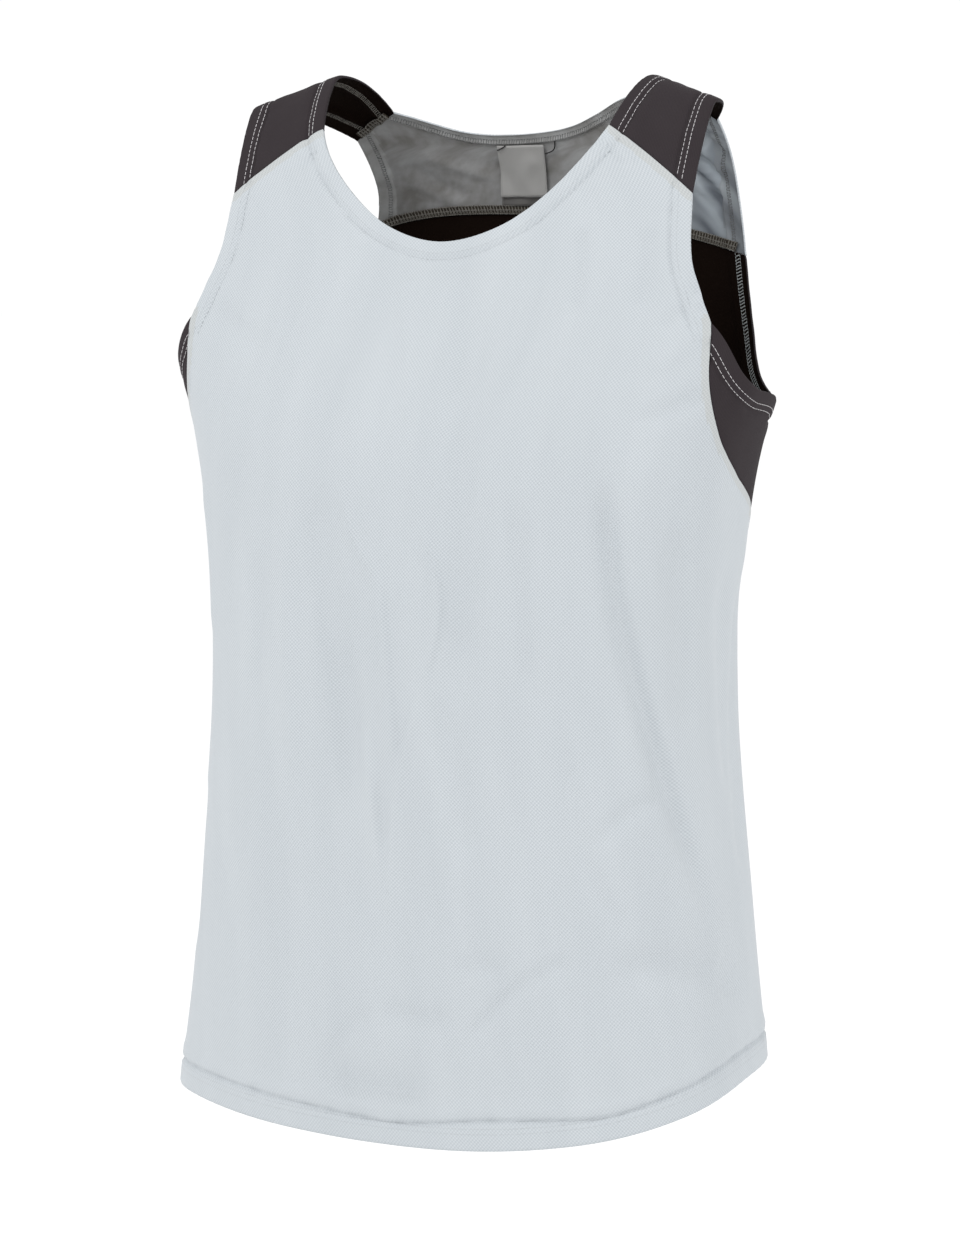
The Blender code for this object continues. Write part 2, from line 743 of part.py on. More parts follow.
def add_label(name, middle_x, top_z, width, length, layer, material):
    """Bare label against the inside of the upper back."""
    x = np.linspace(middle_x + width / 2, middle_x - width / 2, LABEL_DIVISIONS + 1)
    z = np.linspace(top_z - length, top_z, LABEL_DIVISIONS + 1)
    grid = np.stack([behind(np.stack([x, np.full(len(x), height)], -1)) for height in z])
    inset = WALL + LABEL_CLEARANCE + layer * (LABEL_WALL + LABEL_CLEARANCE)
    return add_panel(name, form_point, grid, [], [], material, inset=inset, wall=LABEL_WALL)


# ---------------------------------------------------------------- the whole singlet
def make_material(name, colour, roughness, metallic):
    material = bpy.data.materials.new(name)
    material.use_nodes = True
    shader = material.node_tree.nodes["Principled BSDF"]
    shader.inputs["Base Color"].default_value = (*colour, 1.0)
    shader.inputs["Roughness"].default_value = roughness
    shader.inputs["Metallic"].default_value = metallic
    material.diffuse_color = (*colour, 1.0)
    return material


def make_singlet():
    for obj in list(bpy.data.objects):
        bpy.data.objects.remove(obj)
    materials = {row[0]: make_material(*row) for row in MATERIALS}
    panels = [
        add_front_panel(materials["pale_mesh"]),
        add_upper_back_panel(materials["pale_mesh"]),
        add_lower_back_panel(materials["charcoal_knit"]),
        add_shoulder_panel("left", materials["charcoal_knit"]),
        add_shoulder_panel("right", materials["charcoal_knit"]),
    ]
    for row in LABELS:
        panels.append(add_label(*row, materials["white_satin"]))
    singlet = bpy.data.objects.new("running_singlet", None)
    bpy.context.collection.objects.link(singlet)
    for panel in panels:
        panel.parent = singlet


make_singlet()
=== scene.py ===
"""Looks of the running singlet. Metres, +Z up, the wearer's left side is +X, the front faces -Y."""

import math
from collections import namedtuple

import bpy
import numpy as np
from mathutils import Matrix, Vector, kdtree
from mathutils.bvhtree import BVHTree


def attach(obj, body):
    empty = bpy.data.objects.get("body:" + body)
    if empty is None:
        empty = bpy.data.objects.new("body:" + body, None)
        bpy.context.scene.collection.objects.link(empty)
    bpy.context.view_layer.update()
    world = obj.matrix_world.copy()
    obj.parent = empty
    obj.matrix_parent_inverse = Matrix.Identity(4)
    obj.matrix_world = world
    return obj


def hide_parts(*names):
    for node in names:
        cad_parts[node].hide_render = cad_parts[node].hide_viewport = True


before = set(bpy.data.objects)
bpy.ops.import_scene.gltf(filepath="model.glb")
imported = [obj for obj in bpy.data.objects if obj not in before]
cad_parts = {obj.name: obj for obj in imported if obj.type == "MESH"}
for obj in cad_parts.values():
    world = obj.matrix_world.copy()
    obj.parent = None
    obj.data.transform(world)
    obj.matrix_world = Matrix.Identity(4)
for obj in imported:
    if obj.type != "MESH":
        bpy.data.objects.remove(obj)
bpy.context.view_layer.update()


def table(columns, *rows):
    """Rows of numbers under named columns."""
    row_type = namedtuple("Row", columns)
    return [row_type(*row) for row in rows]


# ---------------------------------------------------------------- sizes
CLOTH = 0.0009              # thickness of the knit
TURNED = 0.0018             # thickness of a turned hem
HEM_FADE = 0.0024           # the way over which one passes into the other
EDGE_ROLL = 0.0014          # how far from its edge the cloth starts to round over, and how deep
EDGE_ROLL_DEPTH = 0.0007
GROOVE_INSET = 0.0006       # the groove along a hem lies this far inside the hem's width
GROOVE_NEAR = 0.0018        # half width of the groove towards the edge, and away from it
GROOVE_FAR = 0.0011
BULGE_PLACE = 0.0062        # past the groove the cloth swells
BULGE_WIDTH = 0.0042
HEM_PUFF = 0.00035          # a hem stands proud along its middle
PUCKER_WIDTH = 0.006
SEAM_WIDTH = 0.0012
SEAM_DIP = 0.0006           # the charcoal cloth dips at a seam, and the pale one stands up
PALE_SEAM_DIP = -0.0003
SEAM_BORDER = 0.0056        # the seam allowance shows through the pale mesh this far
ALLOWANCE_LIFT = 0.0003     # and lifts the front along the side seams, with a dip past it
ALLOWANCE_REACH = 0.0042
ALLOWANCE_FADE = 0.0014
ALLOWANCE_DIP = 0.00022
ALLOWANCE_DIP_PLACE = 0.0062
ALLOWANCE_DIP_WIDTH = 0.0011
SEAM_GAP = 0.00002          # between the cloths of two panels
TIP_CUT = 0.0012            # pointed ends are cut back this far, but not past this share
TIP_SHARE = 0.9             # of their first cell
PALE_PANELS = ("front_panel", "upper_back_panel")
SIDES = ("left", "right")

# The bottom hem is not turned up evenly: its depth round the body.
BOTTOM_DEPTH = table(
    "angle depth",
    (-180, 0.018), (-60, 0.018), (-20, 0.0184), (-4, 0.0164), (4, 0.0152), (12, 0.0174),
    (21, 0.02), (32, 0.0186), (44, 0.0154), (52, 0.0168), (69, 0.019), (128, 0.0176),
    (180, 0.018),
)
# Turned hems: width, and what the needle rows press in and raise.
HEM_STYLES = table(
    "name width groove pucker bulge",
    ("neck", 0.013, 0.0013, 0.00046, 0.0004),
    ("back_neck", 0.0072, 0.0007, 0.00036, 0),
    ("armhole", 0.0145, 0.0012, 0.0005, 0.0003),
    ("bottom", 0.0205, 0.0021, 0.0006, 0.0009),
)

# Level sections of the form, from below the hem to the shoulder line.
# half_width is reached at middle_y; front and back are the reaches towards -Y and +Y.
SECTIONS = table(
    "z half_width front back middle_y",
    (-0.7, 0.2115, 0.139, 0.134, 0.003),
    (-0.6, 0.1983, 0.129, 0.129, 0.004),
    (-0.5, 0.1899, 0.1195, 0.1225, 0.0004),
    (-0.4, 0.1834, 0.1115, 0.1165, -0.0016),
    (-0.3, 0.1877, 0.103, 0.1136, -0.0026),
    (-0.22, 0.2031, 0.0911, 0.1146, -0.0058),
    (-0.15, 0.2297, 0.0617, 0.1209, -0.0052),
    (-0.08, 0.2407, 0.0366, 0.1334, 0.0087),
    (0, 0.2426, 0.0159, 0.1193, 0.0173),
)
SECTION_SQUARENESS = 2.5665     # exponent of the rounded rectangle; 2 is an ellipse

# Top line of the shoulders. It lies a little lower beside the neck on the wearer's left.
CROWN = table(
    "x z",
    (-0.22, -0.0271), (-0.18, -0.0098), (-0.145, 0.0038), (-0.11, 0.0172), (-0.06, 0.0322),
    (0, 0.05), (0.06, 0.0284), (0.11, 0.0124), (0.145, 0.0012), (0.18, -0.0098), (0.22, -0.0271),
)
CROWN_MIDDLE_X = 0.140          # middle of a shoulder panel
CROWN_MIDDLE_Y = 0.0224
CROWN_SLANT = -0.403            # y per x: the top line comes forward towards the arm
FRONT_ROLL = 0.0771             # depth below the top line over which the front turns over
BACK_ROLL = 0.0888

# Cut edges. x runs to the wearer's left; angle is round the body, 0 in front, 90 at the
# wearer's left side, 180 behind.
NECK_FRONT = table(
    "x z",
    (0, -0.0979), (0.0423, -0.0874), (0.0783, -0.0613), (0.0992, -0.0362), (0.1066, -0.0232),
)
# wearer's left to right, between the back shoulder seams; the left half climbs sooner
NECK_BACK = table(
    "x z",
    (0.084, 0.002), (0.0587, -0.0023), (0.0349, -0.0114), (0.0131, -0.0192), (-0.015, -0.0235),
    (-0.061, -0.0233), (-0.0773, -0.0199), (-0.0922, -0.0148),
)
NECK_TOP_X = 0.1173             # where the neck edge crosses the shoulder top line
ARM_TOP_X = 0.1733              # where the armhole edge crosses that line
# shoulder panel to front panel, neck to armhole
FRONT_SEAM = table(
    "x z",
    (0.1066, -0.0232), (0.13, -0.0372), (0.153, -0.053), (0.1713, -0.067),
)
# shoulder panel to upper back, neck to armhole; the left one sits higher
BACK_SEAM = table(
    "side x z",
    ("left", 0.108, 0.0032), ("left", 0.1445, -0.017), ("right", 0.1112, -0.0084),
    ("right", 0.1418, -0.027),
)
# from the front shoulder seam down to the side seam
ARMHOLE_FRONT = table(
    "angle z",
    (42.7, -0.0998), (47.2, -0.1301), (51.4, -0.1479),
)
# from the side seam, under the arm and up the back
ARMHOLE_BACK = table(
    "angle z",
    (67.1, -0.1777), (102.2, -0.1956), (119.4, -0.1995), (136.1, -0.1706),
)
ARMHOLE_LOWEST_ROW = 2          # row of ARMHOLE_BACK where the armhole turns up the back
# up the racer-cut back, which spreads at the wearer's left end of the yoke seam
ARMHOLE_RACER = table(
    "side x z",
    ("left", 0.1476, -0.102), ("left", 0.1415, -0.0661), ("right", 0.1393, -0.0661),
)
# upper back to lower back, wearer's left to right, and where it meets the armholes
YOKE_SEAM = table(
    "x z",
    (0.1034, -0.097), (0.04, -0.085), (-0.035, -0.08), (-0.101, -0.0823), (-0.13, -0.0885),
)
YOKE_ENDS = table(
    "side z",
    ("left", -0.1078), ("right", -0.0945),
)
# front panel to lower back, armhole to hem
SIDE_SEAM = table(
    "angle z",
    (51.4, -0.1479), (55.6, -0.1762), (69.1, -0.2185), (76.8, -0.2321), (87.6, -0.2449),
    (97.7, -0.256), (108, -0.268), (118, -0.287), (124, -0.325), (127, -0.42),
)
SIDE_SEAM_HEM_ANGLE = 128.0
SIDE_SEAM_KNEE_ROW = 7          # row of SIDE_SEAM where it turns down to the hem
# the wearer's right side hangs lower than the left
HEM = table(
    "angle z",
    (-180, -0.652), (-128, -0.664), (-95, -0.6705), (-72, -0.6748), (-42, -0.672), (-19, -0.6755),
    (0, -0.6768), (18, -0.6747), (38.8, -0.6664), (60, -0.6537), (85, -0.6423), (128, -0.64),
    (180, -0.652),
)

# Folds and creases, as soft troughs (depth above 0, into the body) and ridges (below 0).
# Each runs through three points and fades out at both ends. lean steepens the side towards
# larger angles (above 0) or smaller ones (below 0).
FOLDS = table(
    "angle_1 z_1 angle_2 z_2 angle_3 z_3 half_width depth lean",
    # front, the long diagonal from below the wearer's left armhole
    (38.6, -0.226, 51.6, -0.361, 80, -0.552, 0.0085, 0.0072, 0.25),
    (23.3, -0.252, 27.2, -0.321, 30.2, -0.392, 0.0066, 0.003, 0.2),
    # front, broad ones on the wearer's right and down the middle
    (-21, -0.24, -15, -0.345, -8.5, -0.465, 0.0135, 0.0046, -0.2),
    (-26.5, -0.274, -25, -0.362, -22.3, -0.449, 0.009, -0.003, 0),
    (-11.9, -0.35, -8.8, -0.416, -8.6, -0.475, 0.01, 0.0032, 0),
    (8.6, -0.12, 14, -0.27, 16.6, -0.4, 0.012, 0.0048, 0.1),
    (9.8, -0.38, 14.7, -0.436, 17.3, -0.5, 0.009, 0.0026, 0),
    (61.6, -0.27, 67.7, -0.342, 72.3, -0.42, 0.012, 0.0042, 0.2),
    (48, -0.22, 51.5, -0.279, 60.9, -0.35, 0.01, -0.0022, 0),
    # front, thin creases that cross and part below the chest
    (-6.8, -0.104, -1.2, -0.191, 4.9, -0.283, 0.003, -0.0011, 0.3),
    (4.5, -0.272, 10.2, -0.328, 7, -0.39, 0.0036, -0.0018, 0.3),
    (7.5, -0.375, 2, -0.46, 2, -0.55, 0.0036, -0.0018, -0.2),
    (-12.8, -0.242, -10.3, -0.285, -2.2, -0.322, 0.0036, -0.0019, 0.2),
    (-3.5, -0.304, -0.4, -0.377, 1.8, -0.442, 0.0048, -0.003, 0.3),
    (-6.9, -0.402, -3.6, -0.457, -0.1, -0.515, 0.0046, -0.002, 0.2),
    (-3.8, -0.38, -1.6, -0.44, 0.2, -0.495, 0.0042, 0.0015, 0),
    # front, short ones below the shoulder seam and inwards from the armhole
    (23.4, -0.086, 25, -0.112, 26.2, -0.15, 0.005, 0.0026, 0.2),
    (34.5, -0.086, 35.8, -0.112, 37.2, -0.146, 0.006, 0.0024, 0),
    (29.5, -0.092, 32.7, -0.137, 37.6, -0.184, 0.007, -0.0016, 0),
    (2.9, -0.098, 6.9, -0.154, 10.4, -0.212, 0.011, 0.0019, 0),
    (42.6, -0.211, 51.1, -0.203, 58.9, -0.192, 0.006, 0.0027, -0.2),
    (41.6, -0.178, 46.3, -0.167, 49.7, -0.15, 0.006, -0.0022, 0),
    (41.2, -0.156, 44.5, -0.137, 45.8, -0.12, 0.005, 0.0019, 0),
    (-46, -0.138, -37, -0.157, -29.6, -0.17, 0.009, 0.0021, 0.1),
    # front, low ones above the hem
    (17, -0.61, 27.3, -0.569, 39.8, -0.546, 0.0042, 0.0024, 0.2),
    (15, -0.564, 21.1, -0.556, 26.4, -0.563, 0.006, 0.0019, 0),
    (43.8, -0.554, 66, -0.564, 97.5, -0.588, 0.012, 0.0045, -0.2),
    (37, -0.404, 40.7, -0.484, 51.2, -0.542, 0.0062, 0.0022, 0),
    (41, -0.482, 51.7, -0.456, 62.9, -0.447, 0.0062, 0.0021, 0),
    (-11.4, -0.637, -7, -0.611, -1.6, -0.59, 0.006, 0.0018, 0),
    (1, -0.588, 7.6, -0.595, 16.4, -0.593, 0.008, 0.0027, 0.1),
    (-13, -0.642, -1, -0.646, 12, -0.645, 0.0085, 0.0042, -0.8),
    # front, puckers against the armhole hem
    (43.8, -0.108, 45.4, -0.112, 46.6, -0.111, 0.0024, 0.0012, 0),
    (44.6, -0.116, 46.2, -0.121, 47.6, -0.12, 0.0022, 0.0014, 0.3),
    (45.4, -0.126, 47.2, -0.13, 48.8, -0.129, 0.0024, 0.0014, 0),
    (46.8, -0.137, 48.6, -0.14, 50.2, -0.1385, 0.0024, 0.0012, 0),
    (43.6, -0.104, 44.6, -0.118, 46.2, -0.133, 0.0022, -0.001, 0.2),
    # front, small ones where the neck hem meets the shoulder seam
    (25.2, -0.035, 26.8, -0.042, 28.6, -0.05, 0.0024, 0.0014, 0),
    (27.4, -0.032, 29, -0.039, 31, -0.048, 0.0022, -0.0011, 0),
    (-24.6, -0.036, -26, -0.044, -27, -0.054, 0.0026, 0.0012, 0),
    # front, the wearer's right side
    (-58.5, -0.25, -57, -0.311, -56, -0.372, 0.008, -0.0021, 0),
    (-34, -0.298, -33.1, -0.353, -33.8, -0.41, 0.007, 0.0019, 0.2),
    (-6.4, -0.279, -2.3, -0.38, -3.2, -0.483, 0.006, -0.0012, 0.2),
    (11.3, -0.285, 13.4, -0.362, 12.8, -0.447, 0.01, 0.0016, 0),
    (-61, -0.46, -60, -0.518, -60.5, -0.584, 0.009, 0.0024, 0),
    (-78, -0.25, -84, -0.33, -88, -0.43, 0.011, 0.0035, 0.1),
    (-100, -0.24, -108, -0.36, -112, -0.48, 0.015, 0.0058, 0.1),
    (88, -0.3, 92, -0.38, 96, -0.47, 0.009, 0.0029, -0.1),
    (112, -0.3, 106, -0.41, 104, -0.53, 0.015, 0.0058, -0.1),
    # back, from the shoulder blades and the small of the back
    (150, -0.2, 158, -0.33, 160, -0.46, 0.015, 0.0038, 0.2),
    (158, -0.16, 165, -0.25, 166, -0.33, 0.008, 0.0018, 0),
    (-152, -0.19, -160, -0.3, -166, -0.42, 0.015, 0.0038, -0.2),
    (-145, -0.23, -151, -0.32, -152, -0.4, 0.007, -0.0016, 0),
    (176, -0.28, 172, -0.42, 176, -0.56, 0.016, 0.0036, 0.1),
    (182, -0.33, 180.5, -0.42, 184, -0.5, 0.0055, -0.0015, 0.2),
    (-140, -0.36, -146, -0.47, -144, -0.58, 0.015, 0.0032, 0),
    (138, -0.38, 141, -0.47, 137, -0.56, 0.011, 0.0022, 0.1),
    (128, -0.33, 146, -0.352, 163, -0.345, 0.007, 0.0019, 0),
    (-128, -0.32, -143, -0.345, -158, -0.34, 0.008, 0.0016, 0),
    (166, -0.42, 180, -0.436, 194, -0.424, 0.0065, 0.0014, 0.2),
    (152, -0.56, 166, -0.574, 182, -0.566, 0.01, 0.0018, 0),
    # upper back: drawn from the shoulder seams, seen inside through the armhole and the neck
    (153.6, -0.019, 150.6, -0.0305, 147.4, -0.045, 0.0042, -0.0032, 0.2),
    (155, -0.027, 151.6, -0.039, 148.2, -0.053, 0.0042, 0.0032, 0),
    (155.6, -0.0345, 152.4, -0.0475, 149.2, -0.063, 0.004, -0.0034, 0.2),
    (156.8, -0.0405, 153, -0.053, 149.3, -0.0675, 0.004, 0.003, 0),
    (157.2, -0.0455, 153.5, -0.058, 149.6, -0.0735, 0.004, -0.003, 0.2),
    (159.5, -0.064, 154.5, -0.0695, 150.2, -0.0775, 0.0042, -0.0024, 0),
    (-147.6, -0.046, -149.5, -0.05, -151.5, -0.0505, 0.0022, 0.0014, 0),
    (-147, -0.058, -149, -0.061, -151.2, -0.0605, 0.0024, -0.0014, 0),
    (-146.6, -0.07, -148.6, -0.0735, -151, -0.073, 0.0024, 0.0016, 0),
    (-146.4, -0.082, -148.4, -0.0835, -150.5, -0.085, 0.0022, -0.0012, 0),
    (-152, -0.042, -157, -0.056, -164, -0.07, 0.004, -0.0022, 0.2),
    (-151, -0.052, -156.5, -0.064, -163, -0.076, 0.004, 0.002, 0),
    (-155, -0.036, -161, -0.047, -169, -0.056, 0.0044, 0.0018, 0.2),
    (-166, -0.04, -171, -0.056, -173, -0.074, 0.006, -0.0014, 0),
    (166, -0.03, 171, -0.05, 181, -0.066, 0.007, -0.0016, 0),
    (184, -0.036, 186, -0.054, 184, -0.074, 0.006, 0.0014, 0),
)
FOLD_FADE = 0.22                # share of a fold's length over which each end fades
FOLD_REACH = 3.2                # half widths past which a fold is not felt

# How finely the grids are divided, before their edges are divided further.
NECK_COLUMNS = 90
SEAM_COLUMNS = 25
ARMHOLE_ROWS = 30
RISE_ROWS = 25
RACER_ROWS = 30
KNEE_COLUMNS = 50
SIDE_ROWS = 100
UNDERARM_ROWS = 25
YOKE_COLUMNS = 100
SHOULDER_ROWS = 70
CREASED_COLUMNS = (103, 135)    # cells of the front that hold the thin creases
PUCKERED_COLUMNS = (176, 186)   # and those that hold the puckers by the left armhole

OUTWARD_STEP = 1e-4             # step of the slopes that give the form's outward direction
KNOT_POWER = 0.7                # spacing of a curve's knots: a power of their distance
FINE_POINTS = 1600              # points of a fine curve
FOLD_POINTS = 25                # points along a fold's path
EDGE_SWEEP = 1.5                # how late a shoulder panel's free edges widen from the top line
MIRROR = np.array([-1, 1])
FULL_TURN = np.array([2 * np.pi, 0])


# ---------------------------------------------------------------- curves and the form
def length_of(vectors):
    return np.linalg.norm(vectors, axis=-1)


def unit(vectors):
    return vectors / length_of(vectors)[..., None]


def arc_of(points):
    """How far along a path each of its points lies."""
    return np.concatenate([[0], np.cumsum(length_of(np.diff(points, axis=0)))])


def smooth(knots, values, x):
    """Smooth curve through (knots, values), read at x."""
    knots, values, x = (np.asarray(part, dtype=float) for part in (knots, values, x))
    run = np.diff(knots)
    rise = np.diff(values) / run
    slope = np.empty(len(knots))
    slope[[0, -1]] = rise[[0, -1]]
    slope[1:-1] = (rise[:-1] * run[1:] + rise[1:] * run[:-1]) / (run[1:] + run[:-1])
    i = np.clip(np.searchsorted(knots, x) - 1, 0, len(knots) - 2)
    t = (x - knots[i]) / run[i]
    start = (2 * t**3 - 3 * t**2 + 1) * values[i] + (t**3 - 2 * t**2 + t) * run[i] * slope[i]
    end = (3 * t**2 - 2 * t**3) * values[i + 1] + (t**3 - t**2) * run[i] * slope[i + 1]
    return start + end


def read(rows, across, value, x):
    """One column of a table as a smooth curve over another, read at x."""
    return smooth([getattr(row, across) for row in rows], [getattr(row, value) for row in rows], x)


def ease(x):
    x = np.clip(x, 0, 1)
    return x * x * (3 - 2 * x)


def section(z):
    """Half width, front reach, back reach and middle of the form at height z."""
    return [read(SECTIONS, "z", name, z) for name in ("half_width", "front", "back", "middle_y")]


def crown_height(x):
    return read(CROWN, "x", "z", x)


def crown_depth(x):
    return CROWN_MIDDLE_Y + CROWN_SLANT * (np.abs(x) - CROWN_MIDDLE_X)


def form_point(angle, z):
    """Point of the form at an angle (radians) round the body and a height."""
    angle = np.asarray(angle, dtype=float)
    half_width, front, back, middle = section(z)
    power = SECTION_SQUARENESS
    sine, cosine = np.sin(angle), np.cos(angle)
    reach = (np.abs(sine)**power + np.abs(cosine)**power) ** (-1 / power)
    x = half_width * reach * sine
    ahead = reach * cosine
    y = np.where(ahead > 0, middle - (front + middle) * ahead, middle - (back - middle) * ahead)
    drop = np.maximum(crown_height(x) - z, 0)
    share = np.clip(drop / np.where(ahead > 0, FRONT_ROLL, BACK_ROLL), 0, 1)
    y = crown_depth(x) + (y - crown_depth(x)) * np.sqrt(1 - (1 - share)**2)
    return np.stack(np.broadcast_arrays(x, y, z), -1)


def across_and_ahead(x, half_width):
    """Shares of a section's reach: sideways, and to the front or back at that place."""
    share = np.clip(np.abs(x) / half_width, 0, 1)
    power = SECTION_SQUARENESS
    return share, np.maximum(1 - share**power, 0) ** (1 / power)


def angle_at(x, z, front):
    """Angle round the body of the point at x and height z, in front or behind."""
    across, ahead = across_and_ahead(x, section(z)[0])
    angle = np.arctan2(across, ahead if front else -ahead)
    return np.where(np.asarray(x) < 0, -angle, angle)


def shoulder_point(x, roll):
    """Point over the shoulder: roll is 0 on the top line, -90 degrees down the front."""
    x, roll = (np.asarray(part, dtype=float) for part in (x, roll))
    z = crown_height(x) - np.where(roll < 0, FRONT_ROLL, BACK_ROLL) * (1 - np.cos(roll))
    half_width, front, back, middle = section(z)
    ahead = across_and_ahead(x, half_width)[1]
    y = np.where(roll < 0, middle - (front + middle) * ahead, middle + (back - middle) * ahead)
    y = crown_depth(x) + (y - crown_depth(x)) * np.abs(np.sin(roll))
    return np.stack(np.broadcast_arrays(x, y, z), -1)


def outward(surface, first, second):
    """Unit direction away from the body at points of a surface of two parameters."""
    step = OUTWARD_STEP
    along_first = surface(first + step, second) - surface(first - step, second)
    along_second = surface(first, second + step) - surface(first, second - step)
    return unit(np.cross(along_first, along_second))


def fold_depth(points):
    """How far the folds move points of the form into the body."""
    shape = points.shape[:-1]
    points = points.reshape(-1, 3)
    depth = np.zeros(len(points))
    t = np.linspace(0, 1, FOLD_POINTS)
    for fold in FOLDS:
        angles = np.radians([fold.angle_1, fold.angle_2, fold.angle_3])
        heights = [fold.z_1, fold.z_2, fold.z_3]
        path = form_point(smooth([0, 0.5, 1], angles, t), smooth([0, 0.5, 1], heights, t))
        reach = FOLD_REACH * fold.half_width
        inside = ((points > path.min(0) - reach) & (points < path.max(0) + reach)).all(-1)
        some = points[inside]
        if not len(some):
            continue
        run = np.diff(path, axis=0)
        offset = some[:, None, :] - path[:-1]
        along = np.clip((offset * run).sum(-1) / (run * run).sum(-1), 0, 1)
        offset = offset - run * along[..., None]
        distance = np.sqrt((offset**2).sum(-1))
        nearest = distance.argmin(-1)
        pick = np.arange(len(some)), nearest
        place = (nearest + along[pick]) / (FOLD_POINTS - 1)
        out = some * np.array([1, 1, 0])
        side = (np.cross(run[nearest], offset[pick]) * out).sum(-1)
        width = fold.half_width * (1 - fold.lean * np.sign(side))
        fade = ease(np.minimum(place, 1 - place) / FOLD_FADE)
        depth[inside] += fold.depth * fade * np.exp(-(distance[pick] / width) ** 2)
    return depth.reshape(shape)


# ---------------------------------------------------------------- edges
def even(curve, count):
    """count + 1 evenly spread points of a fine curve of angle and z."""
    arc = arc_of(form_point(*curve.T))
    shares = np.linspace(0, 1, count + 1)
    return np.stack([np.interp(shares, arc / arc[-1], part) for part in curve.T], -1)


def through(rows):
    """Fine smooth curve through rows of two numbers."""
    rows = np.asarray(rows, dtype=float)
    step = np.hypot(*np.diff(rows, axis=0).T) ** KNOT_POWER
    knots = np.concatenate([[0], np.cumsum(step)])
    t = np.linspace(0, knots[-1], FINE_POINTS)
    return np.stack([smooth(knots, part, t) for part in rows.T], -1)


def split_at(curve, point):
    """A fine curve as two, parted at its point nearest to the given one."""
    nearest = int(np.argmin(np.hypot(*(curve - point).T)))
    curve[nearest] = point
    return curve[:nearest + 1], curve[nearest:]


def in_front(rows):
    """Rows of x and z as angle and z, on the front."""
    x, z = np.asarray(rows, dtype=float).T
    return np.stack([angle_at(x, z, True), z], -1)


def behind(rows):
    """Rows of x and z as angle and z, on the back, where angles run on past 180 degrees."""
    x, z = np.asarray(rows, dtype=float).T
    angle = angle_at(x, z, False)
    return np.stack([np.where(x < 0, 2 * np.pi + angle, angle), z], -1)


def in_radians(rows):
    return [(math.radians(angle), z) for angle, z in rows]


def join(*runs):
    """Curves end to end, each shared point kept once."""
    return np.concatenate([runs[0]] + [run[1:] for run in runs[1:]])


def on_right(curve):
    """The wearer's left edge as the right one, run the other way."""
    return (np.asarray(curve) * MIRROR)[::-1]


def on_right_behind(curve):
    """The same for an edge on the back."""
    return on_right(curve) + FULL_TURN


def hem_height(angle):
    """Height of the bottom edge at an angle in radians, which may run on past 180 degrees."""
    signed = np.where(angle > np.pi, angle - 2 * np.pi, angle)
    return smooth(np.radians([row.angle for row in HEM]), [row.z for row in HEM], signed)


def hem_edge(start, end, count):
    angle = np.linspace(start, end, FINE_POINTS)
    return even(np.stack([angle, hem_height(angle)], -1), count)


def side_seam(side):
    """Armhole to knee, and knee to hem, as if on the wearer's left."""
    hem_angle = math.radians(SIDE_SEAM_HEM_ANGLE)
    hem_z = float(hem_height(hem_angle if side == "left" else -hem_angle))
    rows = in_radians(SIDE_SEAM) + [(hem_angle, hem_z)]
    underarm, down = split_at(through(rows), np.array(rows[SIDE_SEAM_KNEE_ROW]))
    return even(underarm, KNEE_COLUMNS), even(down, SIDE_ROWS)


def of_side(rows, side):
    """The rows of a table that belong to one side, without the side's name."""
    return [row[1:] for row in rows if row.side == side]


def back_armhole(side):
    """Side seam to the lowest point, from there to the yoke seam, and on to the shoulder
    seam, as if on the left."""
    rows = np.concatenate([
        in_radians(ARMHOLE_FRONT[-1:]),
        in_radians(ARMHOLE_BACK),
        behind(of_side(ARMHOLE_RACER, side)),
        behind(of_side(BACK_SEAM, side)[-1:]),
    ])
    under, climb = split_at(through(rows), rows[1 + ARMHOLE_LOWEST_ROW])
    yoke_z = of_side(YOKE_ENDS, side)[0][0]
    rise, racer = split_at(climb, climb[np.argmin(np.abs(climb[:, 1] - yoke_z))])
    return even(under, KNEE_COLUMNS), even(rise, RISE_ROWS), even(racer, RACER_ROWS)


def yoke_seam():
    """Wearer's left to right."""
    left_end = back_armhole("left")[1][-1:]
    right_end = on_right_behind(back_armhole("right")[1][-1:])
    return even(through(np.concatenate([left_end, behind(YOKE_SEAM), right_end])), YOKE_COLUMNS)


def coons(bottom, top, left, right):
    """Grid between four edges: rows run from bottom to top, columns from left to right."""
    s = np.linspace(0, 1, len(bottom))[None, :, None]
    t = np.linspace(0, 1, len(left))[:, None, None]
    between_rows = (1 - t) * bottom[None] + t * top[None]
    between_sides = (1 - s) * left[:, None] + s * right[:, None]
    corners = (1 - s) * ((1 - t) * bottom[0] + t * top[0])
    corners = corners + s * ((1 - t) * bottom[-1] + t * top[-1])
    return between_rows + between_sides - corners


# ---------------------------------------------------------------- panels as grids
Panel = namedtuple("Panel", "name surface grid present hems seams")


def near(cells, count, parts, start=True, end=True, first=0, last=None):
    """Cells to divide into parts at the two ends of a run."""
    last = cells if last is None else last
    at_start = {first + k: parts for k in range(count if start else 0)}
    return {**at_start, **{last - 1 - k: parts for k in range(count if end else 0)}}


def divisions(cells, fine):
    """Fractional indices along a run of cells. fine maps a cell to its number of parts."""
    parts = [fine.get(cell, 1) for cell in range(cells)]
    places = [cell + k / count for cell, count in enumerate(parts) for k in range(count)]
    return np.array(places + [float(cells)])


